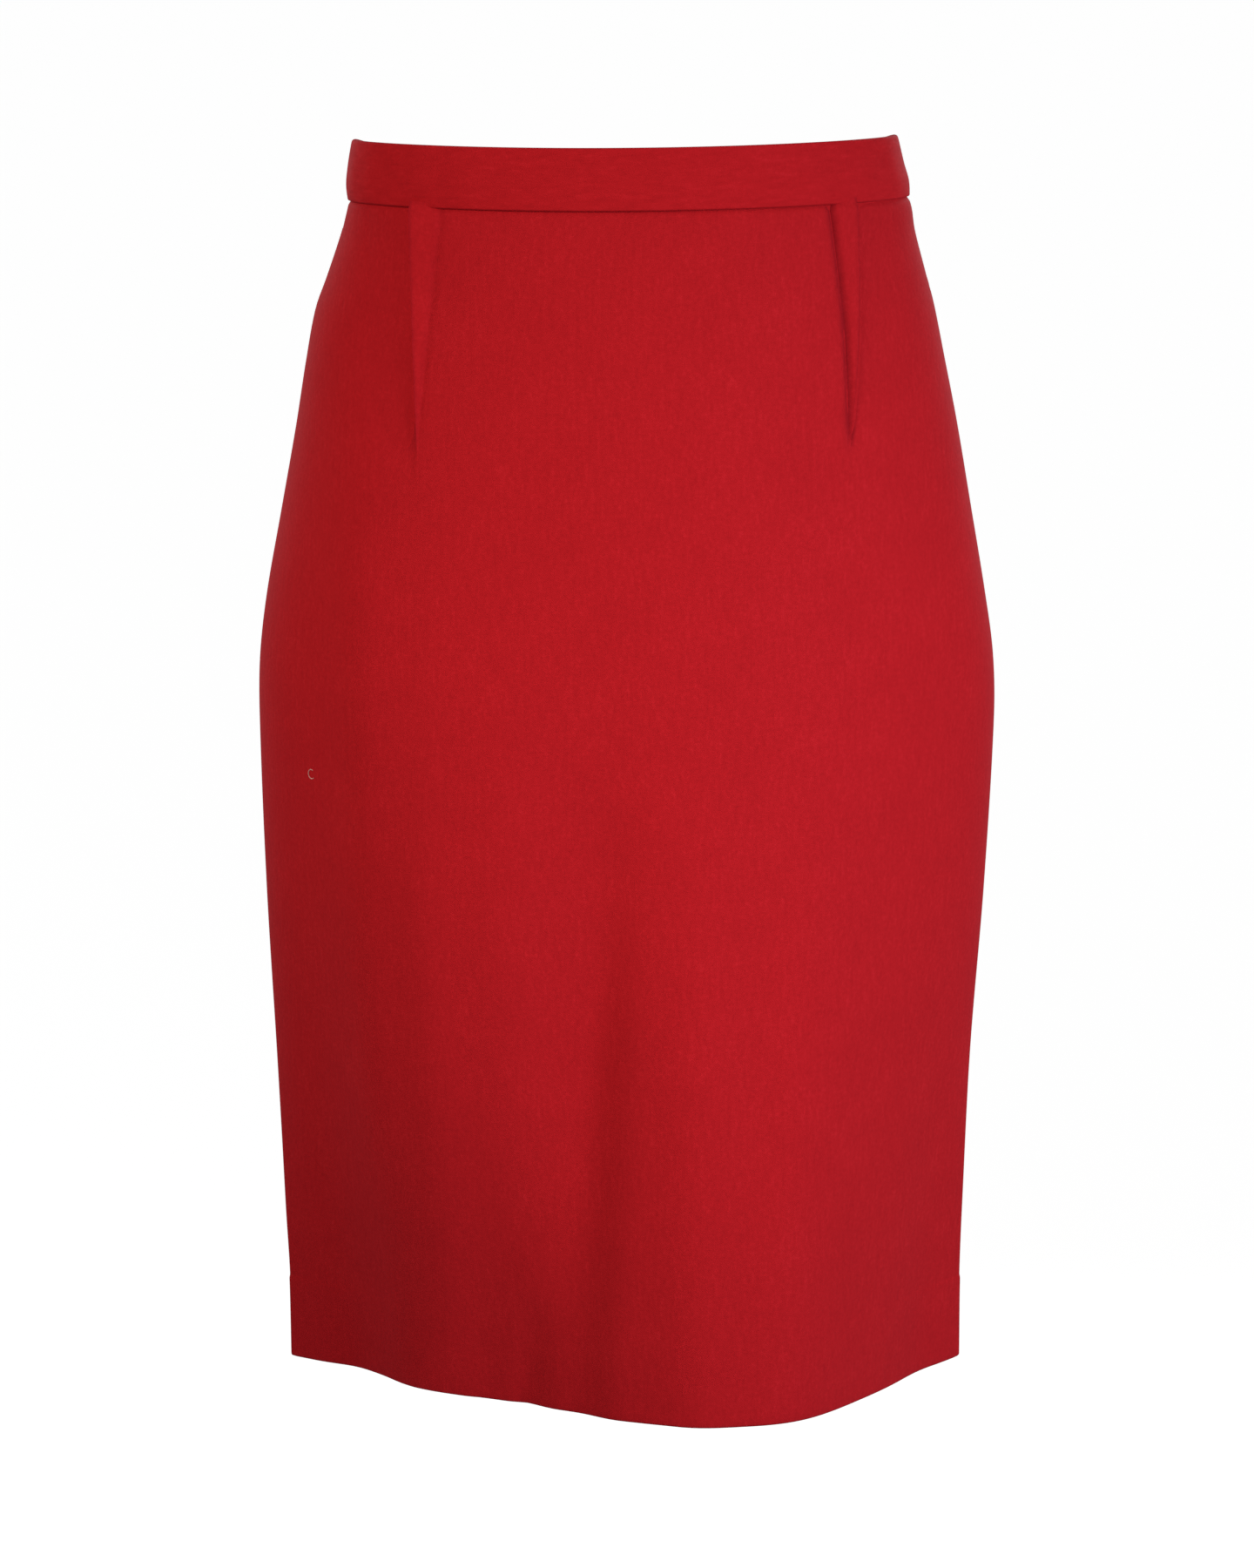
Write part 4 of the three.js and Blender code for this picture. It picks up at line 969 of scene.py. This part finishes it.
def turned_profile(profile, steps):
    """Points and faces of a round piece from its section, closed on its axis."""
    inner = profile[1:-1]
    points = [(0, 0, profile[0][1])]
    for radius, up in inner:
        for k in range(steps):
            bend = 2 * math.pi * k / steps
            points.append((radius * math.cos(bend), radius * math.sin(bend), up))
    points.append((0, 0, profile[-1][1]))
    faces = [(0, 1 + (k + 1) % steps, 1 + k) for k in range(steps)]
    for r in range(len(inner) - 1):
        for k in range(steps):
            a, b = 1 + r * steps + k, 1 + r * steps + (k + 1) % steps
            faces.append((a, b, b + steps, a + steps))
    last = 1 + (len(inner) - 1) * steps
    faces += [(last + k, last + (k + 1) % steps, len(points) - 1) for k in range(steps)]
    return np.array(points, float), faces


button_centre, button_out = on_band(BUTTON_ACROSS, 0, BUTTON_SEAT)
button_turn = Vector((0, 0, 1)).rotation_difference(Vector(button_out)).to_matrix()
button_turn = np.array(button_turn)


def on_button(points):
    return np.asarray(points) @ button_turn.T + button_centre


button_red = plain_finish(
    "button_polyester", (0.4, 0.012, 0.02), (0.28, 0.008, 0.013), 0.26, 0.006, coat=0.35
)
disc_points, disc_faces = turned_profile(BUTTON_PROFILE, 64)
button = piece_of("button_disc", on_button(disc_points), disc_faces, None, button_red)
hole_points, hole_faces = turned_profile(
    [(0, -1), (BUTTON_HOLE_RADIUS, -1), (BUTTON_HOLE_RADIUS, 4), (0, 4)], 16
)
cutters = []
for across in (-1, 1):
    for up in (-1, 1):
        moved = hole_points + np.array([across, up, 0]) * BUTTON_HOLE_OFFSET
        cutter = bpy.data.meshes.new("thread_hole")
        cutter.from_pydata((on_button(moved) * MM).tolist(), [], hole_faces)
        cutters.append(bpy.data.objects.new("thread_hole", cutter))
        bpy.context.collection.objects.link(cutters[-1])
        drilled = button.modifiers.new("thread_hole", "BOOLEAN")
        drilled.object = cutters[-1]
rim = button.modifiers.new("softened_rims", "BEVEL")
rim.width = 0.12 * MM
rim.segments = 2
rim.limit_method = "ANGLE"
rim.angle_limit = math.radians(50)
drilled_mesh = bpy.data.meshes.new_from_object(button.evaluated_get(bpy.context.evaluated_depsgraph_get()))
button.modifiers.clear()
button.data = drilled_mesh
for cutter in cutters:
    bpy.data.objects.remove(cutter)
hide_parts("waist_button")


def stitch_tree():
    """Short arched stitches set along the path, each turned by a slant that may change sides in turn."""
    tree, given = geometry_tree(
        "stitches", ("Spacing", "Stitch Length", "Thread Radius", "Arch", "Slant", "Sway")
    )
    line = placed(tree, "GeometryNodeMeshToCurve", {"Mesh": given["Path"]}).outputs[0]
    line = placed(
        tree, "GeometryNodeResampleCurve", {"Curve": line, "Length": given["Spacing"]}, mode="LENGTH"
    ).outputs[0]
    half = math_of(tree, "MULTIPLY", given["Stitch Length"], 0.5)
    start = placed(tree, "ShaderNodeCombineXYZ", {"X": math_of(tree, "MULTIPLY", half, -1)}).outputs[0]
    end = placed(tree, "ShaderNodeCombineXYZ", {"X": half}).outputs[0]
    top = placed(tree, "ShaderNodeCombineXYZ", {"Z": math_of(tree, "MULTIPLY", given["Arch"], 2)}).outputs[0]
    arc = placed(
        tree, "GeometryNodeCurveQuadraticBezier", {
            "Resolution": 4, "Start": start, "Middle": top, "End": end
        }
    ).outputs[0]
    ring = placed(
        tree, "GeometryNodeCurvePrimitiveCircle", {"Resolution": 5, "Radius": given["Thread Radius"]}
    ).outputs[0]
    stitch = placed(
        tree, "GeometryNodeCurveToMesh", {"Curve": arc, "Profile Curve": ring, "Fill Caps": True}
    ).outputs[0]
    out = placed(
        tree, "GeometryNodeInputNamedAttribute", {"Name": "out"}, data_type="FLOAT_VECTOR"
    ).outputs[0]
    along = placed(tree, "GeometryNodeInputTangent").outputs[0]
    facing = placed(
        tree, "FunctionNodeAxesToRotation", {"Primary Axis": out, "Secondary Axis": along},
        primary_axis="Z", secondary_axis="X",
    ).outputs[0]
    index = placed(tree, "GeometryNodeInputIndex").outputs[0]
    odd = math_of(tree, "MODULO", index, 2)
    swayed = math_of(tree, "MULTIPLY", math_of(tree, "SUBTRACT", odd, 0.5), given["Sway"])
    about = placed(
        tree, "ShaderNodeCombineXYZ", {"Z": math_of(tree, "ADD", given["Slant"], swayed)}
    ).outputs[0]
    slant = placed(tree, "FunctionNodeEulerToRotation", {0: about}).outputs[0]
    turned = placed(
        tree, "FunctionNodeRotateRotation", {0: facing, 1: slant}, rotation_space="LOCAL"
    ).outputs[0]
    many = placed(
        tree, "GeometryNodeInstanceOnPoints", {"Points": line, "Instance": stitch, "Rotation": turned}
    ).outputs[0]
    close_tree(tree, given, many)
    return tree


STITCHES = stitch_tree()
thread = plain_finish("sewing_thread", (0.36, 0.0115, 0.018), (0.3, 0.009, 0.013), 0.6, 0.003)
hole_middle, hole_half = sum(BUTTONHOLE) / 2, (BUTTONHOLE[1] - BUTTONHOLE[0]) / 2
ring_bend = np.linspace(0, 2 * math.pi, 90)
ring_across = hole_middle + hole_half * np.sign(np.cos(ring_bend)) * np.abs(np.cos(ring_bend)) ** 0.5
ring_up = 1.15 * np.sign(np.sin(ring_bend)) * np.abs(np.sin(ring_bend)) ** 0.5
ring_points, ring_out = on_band(ring_across, ring_up, BAND_PILLOW + 0.02)
grown(
    "buttonhole_stitches", STITCHES, path_mesh("buttonhole_path", ring_points, ring_out), thread,
    "red_crepe", spacing=0.42 * MM, stitch_length=BAR_LENGTH * MM, thread_radius=THREAD * MM,
    arch=0.1 * MM, slant=math.pi / 2, sway=0,
)
# Painted shadow: a dark sheet lies over the band along the buttonhole, standing for the shade in the cut.
slit_across = np.linspace(*BUTTONHOLE, 24)
slit_low, _ = on_band(slit_across, np.full(24, -0.3), BAND_PILLOW + 0.03)
slit_high, _ = on_band(slit_across, np.full(24, 0.3), BAND_PILLOW + 0.03)
slit_faces = [(k, k + 1, 25 + k, 24 + k) for k in range(23)]
slit_shadow = plain_finish("buttonhole_shadow", (0.05, 0.001, 0.0015), (0.03, 0.0008, 0.001), 0.95, 0.002)
piece_of("buttonhole_slit_shadow", np.concatenate([slit_high, slit_low]), slit_faces, None, slit_shadow)

cross = []
for across, up in ((1, 1), (1, -1)):
    arch = [(t * across * BUTTON_HOLE_OFFSET, t * up * BUTTON_HOLE_OFFSET, 2.15 - 1.3 * abs(t) ** 3)
            for t in np.linspace(-1.06, 1.06, 13)]
    for shift in (-0.22, 0.22):
        strand = np.array(arch) + np.array([-up * shift * 0.7, across * shift * 0.7, 0.12 if up > 0 else 0])
        cross.append(strand)


def thread_tree():
    """Round thread along the path."""
    tree, given = geometry_tree("thread_strands", ("Thread Radius",))
    line = placed(tree, "GeometryNodeMeshToCurve", {"Mesh": given["Path"]}).outputs[0]
    ring = placed(
        tree, "GeometryNodeCurvePrimitiveCircle", {"Resolution": 8, "Radius": given["Thread Radius"]}
    ).outputs[0]
    tube = placed(
        tree, "GeometryNodeCurveToMesh", {"Curve": line, "Profile Curve": ring, "Fill Caps": True}
    ).outputs[0]
    close_tree(tree, given, tube)
    return tree


STRANDS = thread_tree()
for number, strand in enumerate(cross):
    strand_points = on_button(strand)
    grown(
        f"button_thread_{number + 1}", STRANDS,
        path_mesh("thread_path", strand_points, np.tile(button_out, (13, 1))), thread, "red_crepe",
        thread_radius=THREAD * MM,
    )


# Hem stitches: the hem's raw edge is held inside by hand stitches in polyester thread, each one slanting
# the other way from the last, that don't show outside. One loose fibre has settled on the front.
CATCH_SPACING = 5
CATCH_LENGTH = 6.2


def inside_path(turns, drops, deep):
    """A path along the inside of the cloth, with the way that faces the hollow."""
    away = -outward(cloth_form, turns, drops)
    points = cloth_form(turns, drops) + away * deep
    return points, away


hem_edge = HEM_TOP + 1.5
for word, low, high, front in (
    ("front", -math.pi / 2 + 0.12, math.pi / 2 - 0.12, True),
    ("left_back", math.pi / 2 + 0.12, float(turn_at(False, 3.0, hem_edge)), False),
    ("right_back", float(turn_at(False, -16.0, hem_edge)), 3 * math.pi / 2 - 0.12, False),
):
    turns = np.linspace(low, high, 160)
    points, away = inside_path(turns, np.full(160, hem_edge), HEM_THICKNESS - 0.5)
    points[:, 1] += (-1 if front else 1) * SEAM_GAP / 2
    grown(
        f"hem_stitches_{word}", STITCHES, path_mesh("hem_path", points, away), thread, "red_crepe",
        spacing=CATCH_SPACING * MM, stitch_length=CATCH_LENGTH * MM, thread_radius=0.17 * MM, arch=0.25 * MM,
        slant=0, sway=1.3,
    )

FIBRE_ACROSS, FIBRE_DROP = -148, 264
fibre_bend = np.linspace(0.8, 5.2, 16)
fibre_turns = turn_at(True, FIBRE_ACROSS + 1.5 * np.cos(fibre_bend), np.full(16, FIBRE_DROP))
fibre_drops = FIBRE_DROP + 2.2 * np.sin(fibre_bend)
fibre_out = outward(cloth_form, fibre_turns, fibre_drops)
fibre_points = cloth_form(fibre_turns, fibre_drops) + fibre_out * 0.2 - np.array([0, SEAM_GAP / 2, 0])
fibre = plain_finish("pale_fibre", (0.75, 0.42, 0.4), (0.6, 0.3, 0.3), 0.8, 0.003)
grown(
    "loose_fibre", STRANDS, path_mesh("fibre_path", fibre_points, fibre_out), fibre, "red_crepe",
    thread_radius=0.2 * MM,
)


# Floor, lights and camera: a white studio floor, a soft key lamp at the front right, a weaker lamp high
# at the left, two soft ones behind for the back, and the camera level with the waist, looking down.
FLOOR_DROP = 1.08
FLOOR_HALF = 30
FLOOR_FAR = 400
CAMERA_DISTANCE = 2.5
CAMERA_HEIGHT = 0.1
CAMERA_DOWN = 8.91
AMBIENT = 0.21
MIRRORED = 0.03

floor_mesh = bpy.data.meshes.new("floor")
floor_corners = [
    (-FLOOR_HALF, -FLOOR_HALF), (FLOOR_HALF, -FLOOR_HALF), (FLOOR_HALF, FLOOR_FAR), (-FLOOR_HALF, FLOOR_FAR)
]
floor_mesh.from_pydata([(x, y, -FLOOR_DROP) for x, y in floor_corners], [], [(0, 1, 2, 3)])
floor = bpy.data.objects.new("floor", floor_mesh)
bpy.context.collection.objects.link(floor)
floor_paint = bpy.data.materials.new("floor_paint")
floor_paint.use_nodes = True
floor_surface = floor_paint.node_tree.nodes["Principled BSDF"]
floor_surface.inputs["Base Color"].default_value = (0.6, 0.6, 0.6, 1)
floor_surface.inputs["Roughness"].default_value = 0.9
floor_surface.inputs["Specular IOR Level"].default_value = 0.1
floor_surface.inputs["Emission Color"].default_value = (1, 1, 1, 1)
seen = placed(floor_paint.node_tree, "ShaderNodeLightPath").outputs["Is Camera Ray"]
glow = math_of(floor_paint.node_tree, "MULTIPLY", seen, 0.87)
floor_paint.node_tree.links.new(glow, floor_surface.inputs["Emission Strength"])
floor_mesh.materials.append(floor_paint)

world = bpy.data.worlds.new("studio")
bpy.context.scene.world = world
world.use_nodes = True
background = world.node_tree.nodes["Background"]
background.inputs["Color"].default_value = (1, 1, 1, 1)
ray = placed(world.node_tree, "ShaderNodeLightPath").outputs
lit = placed(
    world.node_tree, "ShaderNodeMix", {0: ray["Is Glossy Ray"], 2: AMBIENT, 3: MIRRORED}, data_type="FLOAT"
).outputs[0]
lit = placed(
    world.node_tree, "ShaderNodeMix", {0: ray["Is Camera Ray"], 2: lit, 3: 0.985}, data_type="FLOAT"
).outputs[0]
world.node_tree.links.new(lit, background.inputs["Strength"])


def soft_lamp(name, place, aim, size, power, spread, colour=(1, 1, 1)):
    lamp = bpy.data.lights.new(name, "AREA")
    lamp.shape = "DISK"
    lamp.size = size
    lamp.energy = power
    lamp.color = colour
    lamp.spread = math.radians(spread)
    holder = bpy.data.objects.new(name, lamp)
    bpy.context.collection.objects.link(holder)
    holder.location = place
    holder.rotation_euler = (Vector(aim) - Vector(place)).to_track_quat("-Z", "Y").to_euler()


soft_lamp("key_lamp", (0.99, -0.94, -0.01), (0.05, 0, -0.36), 0.8, 2.6, 67, (1, 1, 1.08))
soft_lamp("fill_lamp", (-0.68, -0.67, 0.14), (0.08, 0, -0.27), 0.8, 1.03, 52, (1, 0.78, 0.62))
soft_lamp("back_left_lamp", (0.9, 2.0, 0.6), (0, 0, -0.3), 1.2, 9, 120)
soft_lamp("back_right_lamp", (-1.1, 1.8, 0.5), (0, 0, -0.3), 1.2, 5, 120)

camera_data = bpy.data.cameras.new("camera")
camera_data.lens = 120.8
camera_data.sensor_width = 36
camera = bpy.data.objects.new("camera", camera_data)
bpy.context.collection.objects.link(camera)
camera.location = (0, -CAMERA_DISTANCE, CAMERA_HEIGHT)
camera.rotation_euler = (math.radians(90 - CAMERA_DOWN), 0, 0)
bpy.context.scene.camera = camera
bpy.context.scene.view_settings.view_transform = "Standard"
